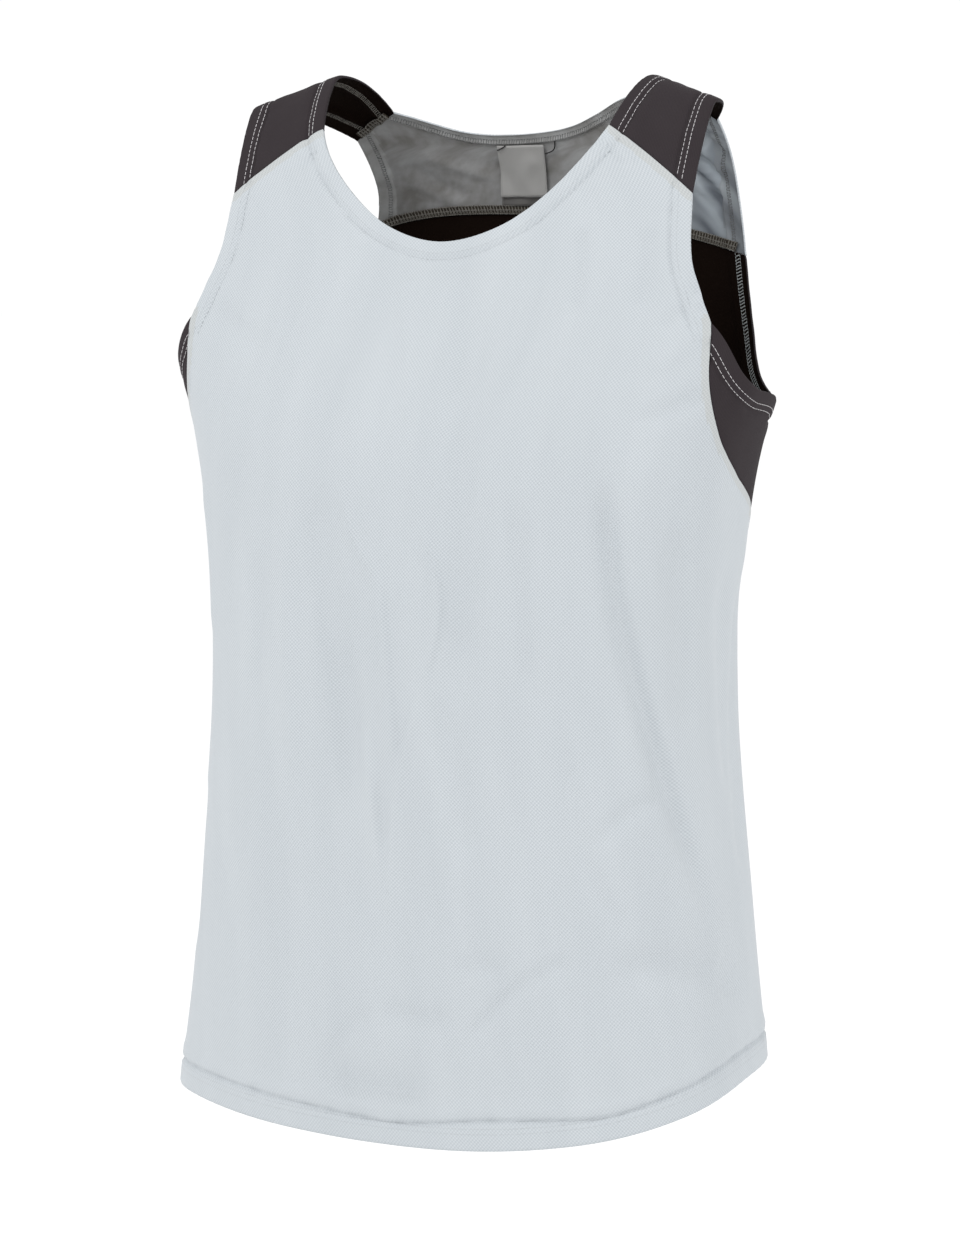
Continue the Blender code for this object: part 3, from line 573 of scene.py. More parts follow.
def refined(grid, present, rows, cols):
    """A grid read at fractional rows and columns, with the cells that it has."""
    r0 = np.minimum(rows.astype(int), grid.shape[0] - 2)
    c0 = np.minimum(cols.astype(int), grid.shape[1] - 2)
    r = (rows - r0)[:, None, None]
    c = (cols - c0)[None, :, None]
    low = grid[r0][:, c0] * (1 - c) + grid[r0][:, c0 + 1] * c
    high = grid[r0 + 1][:, c0] * (1 - c) + grid[r0 + 1][:, c0 + 1] * c
    mid_r, mid_c = (((places[1:] + places[:-1]) / 2).astype(int) for places in (rows, cols))
    return low * (1 - r) + high * r, present[mid_r][:, mid_c]


def stepped_grid(*blocks):
    """Blocks of points, stacked from the bottom up, as one grid, and the cells that it has."""
    columns = max(block.shape[1] for block in blocks)
    rows = sum(len(block) - 1 for block in blocks)
    grid = np.zeros((rows + 1, columns, 2))
    present = np.zeros((rows, columns - 1), dtype=bool)
    start = 0
    for block in blocks:
        inset = KNEE_COLUMNS if block.shape[1] < columns else 0
        grid[start:start + len(block), inset:columns - inset] = block
        present[start:start + len(block) - 1, inset:columns - 1 - inset] = True
        start += len(block) - 1
    return grid, present


def at(places, *values):
    """Indices of the divisions at some values, and of the last one."""
    return [int(np.argmin(np.abs(places - value))) for value in values] + [len(places) - 1]


def run(*corners):
    """Grid indices along straight lines from corner to corner."""
    path = [corners[0]]
    for (row, col), (to_row, to_col) in zip(corners, corners[1:]):
        steps = abs(to_row - row) + abs(to_col - col)
        down, aside = (to_row - row) // steps, (to_col - col) // steps
        path += [(row + down * k, col + aside * k) for k in range(1, steps + 1)]
    return tuple(np.array(path).T)


def front_panel():
    (underarm_left, down_left), (underarm_right, down_right) = map(side_seam, SIDES)
    rows = np.concatenate([in_front(FRONT_SEAM[-1:]), in_radians(ARMHOLE_FRONT)])
    armhole = even(through(rows), ARMHOLE_ROWS)
    seam = even(in_front(through(FRONT_SEAM)), SEAM_COLUMNS)
    other_half = [(-x, z) for x, z in reversed(NECK_FRONT)]
    neck = even(in_front(through([*other_half, *NECK_FRONT[1:]])), NECK_COLUMNS)
    top = join(on_right(seam), neck, seam)
    chest = np.linspace(on_right(armhole)[0], armhole[-1], len(top))
    upper = coons(chest, top, on_right(armhole), armhole[::-1])
    middle = join(on_right(underarm_right), chest, underarm_left)
    last = len(middle) - 1
    bottom = hem_edge(-down_right[-1, 0], down_left[-1, 0], last)
    lower = coons(bottom, middle, on_right(down_right), down_left[::-1])
    grid, present = stepped_grid(lower, upper)
    high = len(grid) - 1
    a, b = KNEE_COLUMNS, last - KNEE_COLUMNS
    fine_rows = {**near(high, 5, 4), **near(high, 2, 4, first=SIDE_ROWS - 2, end=False)}
    middle_cells = {k: 2 for k in (*range(*CREASED_COLUMNS), *range(*PUCKERED_COLUMNS))}
    fine_cols = {**middle_cells, **near(last, 2, 4), **near(last, 4, 4, first=a, last=b)}
    rows, cols = divisions(high, fine_rows), divisions(last, fine_cols)
    knee, high = at(rows, SIDE_ROWS)
    left, neck_a, neck_b, right, far = at(cols, a, a + SEAM_COLUMNS, b - SEAM_COLUMNS, b)
    hems = [
        ("bottom", run((0, 0), (0, far))),
        ("armhole", run((knee, right), (high, right))),
        ("neck", run((high, neck_b), (high, neck_a))),
        ("armhole", run((high, left), (knee, left))),
    ]
    seams = {
        "side_left": run((0, far), (knee, far), (knee, right)),
        "front_left": run((high, right), (high, neck_b)),
        "front_right": run((high, neck_a), (high, left)),
        "side_right": run((knee, left), (knee, 0), (0, 0)),
    }
    return Panel("front_panel", form_point, *refined(grid, present, rows, cols), hems, seams)


def blunt_tips(edge):
    """Cuts the pointed ends of an edge back a little."""
    for tip, step in ((0, 1), (-1, -1)):
        reach = length_of(form_point(*edge[tip]) - form_point(*edge[tip + step]))
        edge[tip] += (edge[tip + step] - edge[tip]) * min(TIP_CUT / reach, TIP_SHARE)


def lower_back_panel():
    (underarm_left, down_left), (underarm_right, down_right) = map(side_seam, SIDES)
    (under_left, rise_left, _), (under_right, rise_right, _) = map(back_armhole, SIDES)
    knee_line = np.linspace(
        underarm_left[-1], on_right_behind(underarm_right)[0], YOKE_COLUMNS + 1)
    arm_line = np.linspace(under_left[-1], on_right_behind(under_right)[0], YOKE_COLUMNS + 1)
    hem = hem_edge(down_left[-1, 0], 2 * np.pi - down_right[-1, 0], YOKE_COLUMNS)
    below = coons(hem, knee_line, down_left[::-1], on_right_behind(down_right))
    band_bottom = join(underarm_left, knee_line, on_right_behind(underarm_right))
    band_top = join(under_left, arm_line, on_right_behind(under_right))
    blunt_tips(band_bottom)
    blunt_tips(band_top)
    climb = np.linspace(0, 1, UNDERARM_ROWS + 1)[:, None]
    tips = [band_bottom[k] + (band_top[k] - band_bottom[k]) * climb for k in (0, -1)]
    band = coons(band_bottom, band_top, *tips)
    above = coons(arm_line, yoke_seam(), rise_left, rise_right * MIRROR + FULL_TURN)
    grid, present = stepped_grid(below, band, above)
    high, last = (count - 1 for count in grid.shape[:2])
    a, b = KNEE_COLUMNS, last - KNEE_COLUMNS
    arm = SIDE_ROWS + UNDERARM_ROWS
    fine_rows = {
        **near(high, 5, 4, end=False),
        **near(high, 1, 4, start=False),
        **near(high, 5, 3, first=arm, last=arm),
    }
    rows, cols = divisions(high, fine_rows), divisions(last, near(last, 4, 4, first=a, last=b))
    knee, arm, high = at(rows, SIDE_ROWS, arm)
    left, right, far = at(cols, a, b)
    hems = [
        ("bottom", run((0, left), (0, right))),
        ("armhole", run((arm, far), (arm, right), (high, right))),
        ("armhole", run((high, left), (arm, left), (arm, 0))),
    ]
    seams = {
        "side_right_back": run((0, right), (knee, right), (knee, far)),
        "yoke_below": run((high, right), (high, left)),
        "side_left_back": run((knee, 0), (knee, left), (0, left)),
    }
    return Panel("lower_back_panel", form_point, *refined(grid, present, rows, cols), hems, seams)


def upper_back_panel():
    seam_left, seam_right = (
        even(behind(through(of_side(BACK_SEAM, side)))[::-1], SEAM_COLUMNS) for side in SIDES)
    (left_x, left_z), (right_x, right_z) = (of_side(BACK_SEAM, side)[0] for side in SIDES)
    neck_line = through([(left_x, left_z), *NECK_BACK, (-right_x, right_z)])
    neck = even(behind(neck_line), YOKE_COLUMNS - 2 * SEAM_COLUMNS)
    top = join(seam_left, neck, on_right_behind(seam_right))
    left = back_armhole("left")[2]
    right = back_armhole("right")[2] * MIRROR + FULL_TURN
    grid = coons(yoke_seam(), top, left, right)
    high, last = (count - 1 for count in grid.shape[:2])
    rows = divisions(high, {**near(high, 1, 4, end=False), **near(high, 9, 3, start=False)})
    cols = divisions(last, near(last, 6, 4))
    grid, present = refined(grid, np.ones((high, last), dtype=bool), rows, cols)
    neck_a, neck_b, far = at(cols, SEAM_COLUMNS, last - SEAM_COLUMNS)
    high = len(rows) - 1
    hems = [
        ("armhole", run((0, far), (high, far))),
        ("back_neck", run((high, neck_b), (high, neck_a))),
        ("armhole", run((high, 0), (0, 0))),
    ]
    seams = {
        "yoke_above": run((0, 0), (0, far)),
        "back_right": run((high, far), (high, neck_b)),
        "back_left": run((high, neck_a), (high, 0)),
    }
    return Panel("upper_back_panel", form_point, grid, present, hems, seams)


def seam_on_shoulder(rows, front, side):
    """A shoulder seam as x and roll."""
    fine = (in_front if front else behind)(through(rows))
    x, _, z = form_point(*even(fine, SEAM_COLUMNS).T).T
    x = -x if side == "right" else x
    drop = (crown_height(x) - z) / (FRONT_ROLL if front else BACK_ROLL)
    roll = np.arccos(np.clip(1 - drop, -1, 1))
    return np.stack([x, -roll if front else roll], -1)


def shoulder_edge(front_end, top_x, back_end):
    climb = np.linspace(1, 0, SHOULDER_ROWS // 2 + 1)[:, None]
    crown = np.array([top_x, 0.0])
    share = np.array([EDGE_SWEEP, 1.0])
    front = crown + (front_end - crown) * climb ** share
    back = crown + (back_end - crown) * climb[::-1] ** share
    return join(front, back)


def shoulder_panel(side):
    front_seam = seam_on_shoulder(FRONT_SEAM, True, side)
    back_seam = seam_on_shoulder(of_side(BACK_SEAM, side), False, side)
    sign = -1 if side == "right" else 1
    neck_edge = shoulder_edge(front_seam[0], sign * NECK_TOP_X, back_seam[0])
    arm_edge = shoulder_edge(front_seam[-1], sign * ARM_TOP_X, back_seam[-1])
    grid = coons(front_seam, back_seam, neck_edge, arm_edge)[:, ::sign]
    left_kind, right_kind = ("neck", "armhole")[::sign]
    high, last = (count - 1 for count in grid.shape[:2])
    rows, cols = divisions(high, near(high, 1, 5)), divisions(last, near(last, 8, 3))
    grid, present = refined(grid, np.ones((high, last), dtype=bool), rows, cols)
    high, far = len(rows) - 1, len(cols) - 1
    hems = [(right_kind, run((0, far), (high, far))), (left_kind, run((high, 0), (0, 0)))]
    seams = {
        f"front_{side}_above": run((0, 0), (0, far)),
        f"back_{side}_above": run((high, far), (high, 0)),
    }
    return Panel(f"shoulder_panel_{side}", shoulder_point, grid, present, hems, seams)


# ---------------------------------------------------------------- cloth
EDGE_STEP = 0.0006
SURFACE_STEP = 1e-4             # step of the slopes that carry a point along the surface
SURFACE_ROUNDS = 4
# The nets of angle and height, and of x and roll, on which the flat cloth is measured.
FORM_NET = np.linspace(-2.6, 6.4, 1201), np.linspace(-0.72, 0.02, 186)
SHOULDER_NET = np.linspace(-0.2, 0.2, 401), np.linspace(-1.6, 1.6, 321)


def cloth(surface, params):
    """Points of the cloth's outer side, folds included, and the outward directions."""
    first, second = params[..., 0], params[..., 1]
    points = surface(first, second)
    normals = outward(surface, first, second)
    return points - normals * fold_depth(points)[..., None], normals


def dense(surface, params, step=EDGE_STEP):
    """An edge's params read again so that its points stand a step apart, with their arc."""
    arc = arc_of(surface(*params.T))
    fine = np.linspace(0, arc[-1], max(int(arc[-1] / step), 2) + 1)
    return np.stack([np.interp(fine, arc, part) for part in params.T], -1), fine


def moved_in(surface, params, distance):
    """A run of params moved along the surface to its left."""
    first, second = params.T.copy()
    start = surface(first, second)
    inward = unit(np.cross(outward(surface, first, second), np.gradient(start, axis=0)))
    goal = start + inward * distance
    step = SURFACE_STEP
    for _ in range(SURFACE_ROUNDS):
        here = surface(first, second)
        by_first = (surface(first + step, second) - here) / step
        by_second = (surface(first, second + step) - here) / step
        pairs = ((by_first, by_first), (by_second, by_second), (by_first, by_second),
                 (by_first, goal - here), (by_second, goal - here))
        aa, bb, ab, a, b = ((one * other).sum(-1) for one, other in pairs)
        det = aa * bb - ab * ab
        first = first + (a * bb - b * ab) / det
        second = second + (b * aa - a * ab) / det
    return np.stack([first, second], -1)


# Waves along an edge: length and strength. Each comes again, this much longer.
WAVES = ((0.031, 0.45), (0.017, 0.35), (0.0094, 0.2))
WAVE_AGAIN = 1.37
WAVE_HEIGHT = 1.3               # the height that is brought down to 1


def ripple(arc, seed):
    """Uneven waves along an edge, about -1 to 1."""
    random = np.random.default_rng(seed)
    total = np.zeros_like(arc)
    for wave, strength in WAVES:
        for length in (wave, wave * WAVE_AGAIN):
            total += strength * np.sin(2 * np.pi * arc / length + random.uniform(0, 6.28))
    return total / WAVE_HEIGHT


def nearest_on(surface, params, points):
    """Arc of an edge, and for each point the distance to it and the index of its nearest one."""
    edge, arc = dense(surface, params)
    tree = kdtree.KDTree(len(edge))
    for i, p in enumerate(surface(*edge.T)):
        tree.insert(p, i)
    tree.balance()
    found = [tree.find(p) for p in points]
    return arc, np.array([hit[2] for hit in found]), np.array([hit[1] for hit in found])


def bell(x, width):
    return np.exp(-(x / width) ** 2)


def relief(panel):
    """How far hems and seams move the outer side inwards, the thickness, and the way to a seam."""
    params = panel.grid
    flat = panel.surface(params[..., 0], params[..., 1]).reshape(-1, 3)
    into = np.zeros(len(flat))
    thick = np.full(len(flat), CLOTH)
    to_seam = np.full(len(flat), 1.0)
    for number, (kind, line) in enumerate(panel.hems):
        style = [row for row in HEM_STYLES if row.name == kind][0]
        arc, distance, index = nearest_on(panel.surface, params[line], flat)
        wave = ripple(arc, 17 * number + len(panel.name))[index]
        width = style.width
        if kind == "bottom":
            angle = np.degrees(params[..., 0].ravel())
            angle = np.where(angle > 180, angle - 360, angle)
            width = read(BOTTOM_DEPTH, "angle", "depth", angle)
        band = 1 - ease((distance - width + HEM_FADE / 2) / HEM_FADE)
        thick = np.maximum(thick, CLOTH + (TURNED - CLOTH) * band)
        beyond = distance - width + GROOVE_INSET
        groove = bell(beyond, np.where(beyond > 0, GROOVE_FAR, GROOVE_NEAR))
        into += style.groove * groove * (1 + 0.12 * wave)
        into -= HEM_PUFF * bell(distance - width * 0.52, width * 0.42)
        into -= style.bulge * bell(beyond - BULGE_PLACE, BULGE_WIDTH) * (1 + 0.5 * wave)
        into += style.pucker * bell(distance - width, PUCKER_WIDTH) * wave
        into += EDGE_ROLL_DEPTH * np.clip(1 - distance / EDGE_ROLL, 0, 1)**2
    for kind, line in panel.seams.items():
        _, distance, _ = nearest_on(panel.surface, params[line], flat)
        to_seam = np.minimum(to_seam, distance)
        dip = PALE_SEAM_DIP if panel.name in PALE_PANELS else SEAM_DIP
        into += dip * bell(distance, SEAM_WIDTH)
        if panel.name == "front_panel" and kind.startswith("side"):
            fade = 1 - ease((distance - ALLOWANCE_REACH) / ALLOWANCE_FADE)
            into -= ALLOWANCE_LIFT * fade * ease(distance / SEAM_WIDTH)
            into += ALLOWANCE_DIP * bell(distance - ALLOWANCE_DIP_PLACE, ALLOWANCE_DIP_WIDTH)
    return [part.reshape(params.shape[:-1]) for part in (into, thick, to_seam)]


def arc_places(surface, params, firsts, seconds):
    """Place of each point on the flat cloth: lengths along the two directions of the surface."""
    points = surface(*np.meshgrid(firsts, seconds, indexing="ij"))
    u = np.cumsum(length_of(np.diff(points, axis=0, prepend=points[:1])), axis=0)
    v = np.cumsum(length_of(np.diff(points, axis=1, prepend=points[:, :1])), axis=1)
    a, b = (np.clip((params[..., k] - along[0]) / (along[1] - along[0]), 0, len(along) - 1.001)
            for k, along in enumerate((firsts, seconds)))
    i, j = a.astype(int), b.astype(int)
    a, b = a - i, b - j
    places = []
    for t in (u - u[len(firsts) // 2], v):
        low = t[i, j] * (1 - a) + t[i + 1, j] * a
        high = t[i, j + 1] * (1 - a) + t[i + 1, j + 1] * a
        places.append(low * (1 - b) + high * b)
    return np.stack(places, -1)


def new_object(name, vertices, faces, *materials):
    mesh = bpy.data.meshes.new(name)
    mesh.from_pydata([tuple(v) for v in vertices], [], faces)
    for material in materials:
        mesh.materials.append(material)
    mesh.shade_smooth()
    obj = bpy.data.objects.new(name, mesh)
    bpy.context.collection.objects.link(obj)
    return obj


def shell(name, outer, inner, present, places, materials, outer_slots=None, inner_slots=None):
    """Closed thin shell between two grids. The slots say which material each cell has."""
    index = {}
    vertices = []
    uv = []

    def vertex(layer, corner):
        key = (layer, corner)
        if key not in index:
            index[key] = len(vertices)
            vertices.append((outer, inner)[layer][corner])
            uv.append(places[corner])
        return index[key]

    faces = []
    kinds = []
    rim = {}
    for row, col in zip(*np.nonzero(present)):
        ring = [(row, col), (row, col + 1), (row + 1, col + 1), (row + 1, col)]
        faces.append([vertex(0, corner) for corner in ring])
        faces.append([vertex(1, corner) for corner in reversed(ring)])
        kinds += [0 if slots is None else slots[row, col] for slots in (outer_slots, inner_slots)]
        for start, end in zip(ring, ring[1:] + ring[:1]):
            if rim.pop((end, start), None) is None:
                rim[(start, end)] = True
    for start, end in rim:
        faces.append([vertex(0, end), vertex(0, start), vertex(1, start), vertex(1, end)])
        kinds.append(0)
    obj = new_object(name, vertices, faces, *materials)
    mesh = obj.data
    mesh.polygons.foreach_set("material_index", kinds)
    corners = np.empty(len(mesh.loops), dtype=np.int32)
    mesh.loops.foreach_get("vertex_index", corners)
    layer = mesh.uv_layers.new(name="cloth")
    layer.data.foreach_set("uv", np.array(uv)[corners].astype(np.float32).ravel())
    return obj


def add_cloth(panel, materials):
    """The panel's cloth. Its materials: outside, inside, inside of the hems, seam borders."""
    points, normals = cloth(panel.surface, panel.grid)
    into, thick, to_seam = relief(panel)
    points = points - normals * into[..., None]
    for line in panel.seams.values():
        edge = points[line]
        inward = np.cross(normals[line], np.gradient(edge, axis=0))
        inward /= np.maximum(length_of(inward)[..., None], 1e-9)
        points[line] = edge + inward * SEAM_GAP / 2
    inner = points - normals * thick[..., None]
    net = FORM_NET if panel.surface is form_point else SHOULDER_NET
    places = arc_places(panel.surface, panel.grid, *net)
    return shell("cloth_" + panel.name, points, inner, panel.present, places, materials,
                 np.where(to_seam < SEAM_BORDER, 3, 0),
                 np.where(thick > (CLOTH + TURNED) / 2, 2, 1))


# ---------------------------------------------------------------- thread
# Profile of a stitch: shares of its length, with the share of its width and height there.
STITCH_PROFILE = ((0.0, 0.45), (0.2, 1.0), (0.8, 1.0), (1.0, 0.45))
STITCH_SUNK = 0.3               # share of its height that is sunk into the cloth
STITCH_TOP = 0.6                # width of its top, as a share of its foot
RAY_START = 0.006
RAY_LENGTH = 0.011
PATH_STEP = 0.002
THREAD_STEP = 0.0004
ROW_REACH = 0.012               # rows are carried on this far, and end where the cloth ends


def tree_of(obj):
    """The made cloth as a tree that can be asked for its surface."""
    mesh = obj.data
    vertices = [v.co for v in mesh.vertices]
    return BVHTree.FromPolygons(vertices, [tuple(f.vertices) for f in mesh.polygons])


def on_side(tree, point, normal, outside):
    """The point of the made cloth beside a point of the form, on its outer or inner side."""
    sign = 1 if outside else -1
    start = Vector(point + normal * sign * RAY_START)
    hit = tree.ray_cast(start, Vector(-normal * sign), RAY_LENGTH)[0]
    return None if hit is None else np.array(hit)


def row_path(surface, params, distance):
    """The line of a row of stitches, at a distance in from a run and carried on past its ends."""
    path = moved_in(surface, dense(surface, params, PATH_STEP)[0], distance)
    steps = np.arange(1, int(ROW_REACH / PATH_STEP) + 1)[:, None]
    before = path[0] + (path[0] - path[1]) * steps[::-1]
    after = path[-1] + (path[-1] - path[-2]) * steps
    path, arc = dense(surface, np.concatenate([before, path, after]), THREAD_STEP)
    return *cloth(surface, path), arc


class Threads:
    """Stitches on a made cloth, collected into one mesh."""

    def __init__(self, name, surface=None, tree=None):
        self.name = name
        self.surface = surface
        self.tree = tree
        self.vertices = []
        self.faces = []

    def stitch(self, start, end, normal, width, height):
        """A short flattened thread lying from start to end."""
        along = end - start
        side = unit(np.cross(normal, along)) * width / 2
        up = normal * height
        first = len(self.vertices)
        for share, grow in STITCH_PROFILE:
            middle = start + along * share
            self.vertices += [
                middle - side * grow - up * STITCH_SUNK,
                middle + side * grow - up * STITCH_SUNK,
                middle + side * grow * STITCH_TOP + up * grow,
                middle - side * grow * STITCH_TOP + up * grow,
            ]
        for a in (first, first + 4, first + 8):
            for k in range(4):
                n = (k + 1) % 4
                self.faces.append((a + k, a + n, a + 4 + n, a + 4 + k))
        self.faces.append((first + 3, first + 2, first + 1, first))
        self.faces.append((first + 12, first + 13, first + 14, first + 15))

    def between(self, one, other, outside, width, height):
        """A stitch between a point of one path and a point of another, where both meet cloth."""
        (points, normals, i), (other_points, other_normals, j) = one, other
        start = on_side(self.tree, points[i], normals[i], outside)
        end = on_side(self.tree, other_points[j], other_normals[j], outside)
        if start is not None and end is not None:
            self.stitch(start, end, normals[i] if outside else -normals[i], width, height)

    def row(self, params, distance, length, gap, width, height, seed, outside=True):
        """A needle row along a run, at a distance in from it."""
        random = np.random.default_rng(seed)
        points, normals, arc = row_path(self.surface, params, distance)
        start = gap
        while start + length < arc[-1]:
            here = length * random.uniform(0.92, 1.08)
            i, j = np.searchsorted(arc, (start, start + here))
            j = min(j, len(arc) - 1)
            if j > i:
                thick = height * random.uniform(0.85, 1.15)
                self.between((points, normals, i), (points, normals, j), outside, width, thick)
            start += here + gap * random.uniform(0.85, 1.15)

    def across(self, params, near_edge, far_edge, step, width, height, seed, slant=0.0):
        """Threads laid across a band on the inner side, between two distances from the run."""
        random = np.random.default_rng(seed)
        first, second = (row_path(self.surface, params, edge) for edge in (near_edge, far_edge))
        count = max(int(len(first[0]) * THREAD_STEP / step), 2)
        for k in range(count):
            share = (k + 0.5 + random.uniform(-0.12, 0.12)) / count
            other = min(max(share + slant * (1 if k % 2 else -1) / count, 0), 1)
            i = int(share * (len(first[0]) - 1))
            j = int(other * (len(second[0]) - 1))
            thick = height * random.uniform(0.8, 1.2)
            self.between((*first[:2], i), (*second[:2], j), False, width, thick)

    def made(self, material):
        return new_object(self.name, self.vertices, self.faces, material)


# ---------------------------------------------------------------- materials
class Field:
    """A value that varies over a material, with arithmetic on it as nodes."""

    def __init__(self, tree, socket):
        self.tree = tree
        self.socket = socket

    def math(self, operation, *others):
        node = self.tree.nodes.new("ShaderNodeMath")
        node.operation = operation
        for socket, value in zip(node.inputs, (self, *others)):
            if isinstance(value, Field):
                self.tree.links.new(value.socket, socket)
            else:
                socket.default_value = value
        return Field(self.tree, node.outputs[0])

    def __add__(self, other):
        return self.math("ADD", other)

    def __sub__(self, other):
        return self.math("SUBTRACT", other)

    def __mul__(self, other):
        return self.math("MULTIPLY", other)

    def wave(self, pitch):
        return (self * (2 * math.pi / pitch)).math("SINE")

    def scaled(self, factor, offset):
        return self.math("MULTIPLY_ADD", factor, offset)

    def noise(self, scale, detail):
        """Noise at this place."""
        node = self.tree.nodes.new("ShaderNodeTexNoise")
        node.inputs["Scale"].default_value = scale
        node.inputs["Detail"].default_value = detail
        self.tree.links.new(self.socket, node.inputs["Vector"])
        return Field(self.tree, node.outputs["Fac"])

    def colours(self, low, high):
        """Colour ramp between two colours."""
        ramp = self.tree.nodes.new("ShaderNodeValToRGB")
        for element, colour in zip(ramp.color_ramp.elements, (low, high)):
            element.color = (*colour, 1)
        self.tree.links.new(self.socket, ramp.inputs[0])
        return ramp.outputs[0]

    def eased(self, start, end, low, high):
        """A soft step from low to high as this goes from start to end."""
        reach = self.tree.nodes.new("ShaderNodeMapRange")
        reach.interpolation_type = "SMOOTHSTEP"
        for name, value in (("From Min", start), ("From Max", end), ("To Min", low),
                            ("To Max", high)):
            reach.inputs[name].default_value = value
        self.tree.links.new(self.socket, reach.inputs["Value"])
        return reach.outputs["Result"]


class Look:
    """A material, its shader, and the place on the cloth: together, and as u and v."""

    def __init__(self, name, colour, roughness, sheen=0.0, specular=0.2):
        self.material = bpy.data.materials.new(name)
        self.material.use_nodes = True
        self.material.diffuse_color = (*colour, 1)
        self.tree = self.material.node_tree
        self.inputs = self.tree.nodes["Principled BSDF"].inputs
        self.inputs["Base Color"].default_value = (*colour, 1)
        self.inputs["Roughness"].default_value = roughness
        self.inputs["Sheen Weight"].default_value = sheen
        self.inputs["Specular IOR Level"].default_value = specular

    def places(self):
        uv = self.tree.nodes.new("ShaderNodeUVMap")
        uv.uv_map = "cloth"
        split = self.tree.nodes.new("ShaderNodeSeparateXYZ")
        self.tree.links.new(uv.outputs[0], split.inputs[0])
        return [Field(self.tree, socket) for socket in (uv.outputs[0], *split.outputs[:2])]

    def place(self, x, y):
        """Two values as one place."""
        both = self.tree.nodes.new("ShaderNodeCombineXYZ")
        self.tree.links.new(x.socket, both.inputs[0])
        self.tree.links.new(y.socket, both.inputs[1])
        return Field(self.tree, both.outputs[0])

    def bump(self, height, strength, distance):
        bump = self.tree.nodes.new("ShaderNodeBump")
        bump.inputs["Strength"].default_value = strength
        bump.inputs["Distance"].default_value = distance
        self.tree.links.new(height.socket, bump.inputs["Height"])
        self.tree.links.new(bump.outputs[0], self.inputs["Normal"])

    def colour(self, socket):
        self.tree.links.new(socket, self.inputs["Base Color"])
        return self.material

    def faded(self, colour, factor):
        """A colour made darker or lighter by a factor."""
        scale = self.tree.nodes.new("ShaderNodeVectorMath")
        scale.operation = "SCALE"
        self.tree.links.new(colour, scale.inputs[0])
        self.tree.links.new(factor, scale.inputs["Scale"])
        return scale.outputs[0]


MESH_PITCH = 0.0024
RIB_PITCH = 0.0011
LOOP_PITCH = 0.0009
WEFT_PITCH = 0.0004
HANG_STRETCH = 0.2              # the faint patches of the mesh are this much longer downwards
PATCH_CONTRAST = 3.2
STREAK_ALONG = 18.0             # scale of the painted sheen streaks along and across their direction
STREAK_ACROSS = 100.0
STREAK_COSINE = 0.80
STREAK_SINE = 0.60


def mesh_material(name, light, dark, roughness):
    """Bird's-eye mesh: small holes on a diagonal lattice, with faint uneven patches."""
    look = Look(name, light, roughness, sheen=0.15)
    _, u, v = look.places()
    holes = (u.wave(MESH_PITCH) * v.wave(MESH_PITCH)).scaled(0.5, 0.5)
    patches = look.place(u, v * HANG_STRETCH).noise(34.0, 3.0)
    look.bump(holes, 0.5, 0.0003)
    return look.colour((holes * 0.72 + patches * 0.28).colours(dark, light))


def inside_material(name, dull, fair, lit):
    """Inner side of the mesh with light and shade painted into its colour: uneven patches on
    darkened colours that stand for shade and grow lighter towards the top, and towards one side a
    painted pool of light with painted sheen streaks that grows darker towards the bottom.
    """
    look = Look(name, dull, 0.9, specular=0.05)
    place, u, v = look.places()
    contrast = PATCH_CONTRAST, (1 - PATCH_CONTRAST) / 2
    fine = place.noise(160.0, 4.0)
    patches = (place.noise(42.0, 2.0) * 0.7 + fine * 0.3).scaled(*contrast)
    along = u * (STREAK_ALONG * STREAK_COSINE) + v * (STREAK_ALONG * STREAK_SINE)
    across = v * (STREAK_ACROSS * STREAK_COSINE) - u * (STREAK_ACROSS * STREAK_SINE)
    streaks = look.place(along, across).noise(1.0, 1.0).scaled(*contrast)
    mix = look.tree.nodes.new("ShaderNodeMix")
    mix.data_type = "RGBA"
    # painted light: where u falls below about 0.155 m, towards the wearer's left, the lit colours
    # take over
    look.tree.links.new(u.eased(0.205, 0.155, 0.0, 1.0), mix.inputs["Factor"])
    # painted shade: the darkened colours, made lighter towards the top
    shaded = look.faded(patches.colours(dull, fair), v.eased(0.640, 0.708, 0.95, 1.18))
    look.tree.links.new(shaded, mix.inputs[6])
    # painted light with painted sheen streaks, made darker towards the bottom
    shining = look.faded(streaks.colours(*lit), v.eased(0.640, 0.672, 0.68, 1.0))
    look.tree.links.new(shining, mix.inputs[7])
    look.bump(fine, 0.5, 0.0006)
    return look.colour(mix.outputs[2])


def knit_material(name, light, dark, roughness, sheen=0.0):
    """Close knit: fine upright ribs with the stitches across them."""
    look = Look(name, light, roughness, sheen, specular=0.05)
    place, u, v = look.places()
    knit = u.wave(RIB_PITCH).scaled(0.35, 0.5) + v.wave(LOOP_PITCH) * 0.15
    look.bump(knit, 0.5, 0.00025)
    return look.colour((knit * 0.6 + place.noise(55.0, 4.0) * 0.4).colours(dark, light))


def satin_material(name, colour, roughness):
    look = Look(name, colour, roughness, sheen=0.1, specular=0.5)
    look.bump(look.places()[2].wave(WEFT_PITCH), 0.25, 0.0001)
    return look.material


def thread_material(name, colour):
    look = Look(name, colour, 0.6, sheen=0.2)
    place = Field(look.tree, look.tree.nodes.new("ShaderNodeTexCoord").outputs["Object"])
    return look.colour(place.noise(2500.0, 1.0).colours([0.72 * c for c in colour], colour))


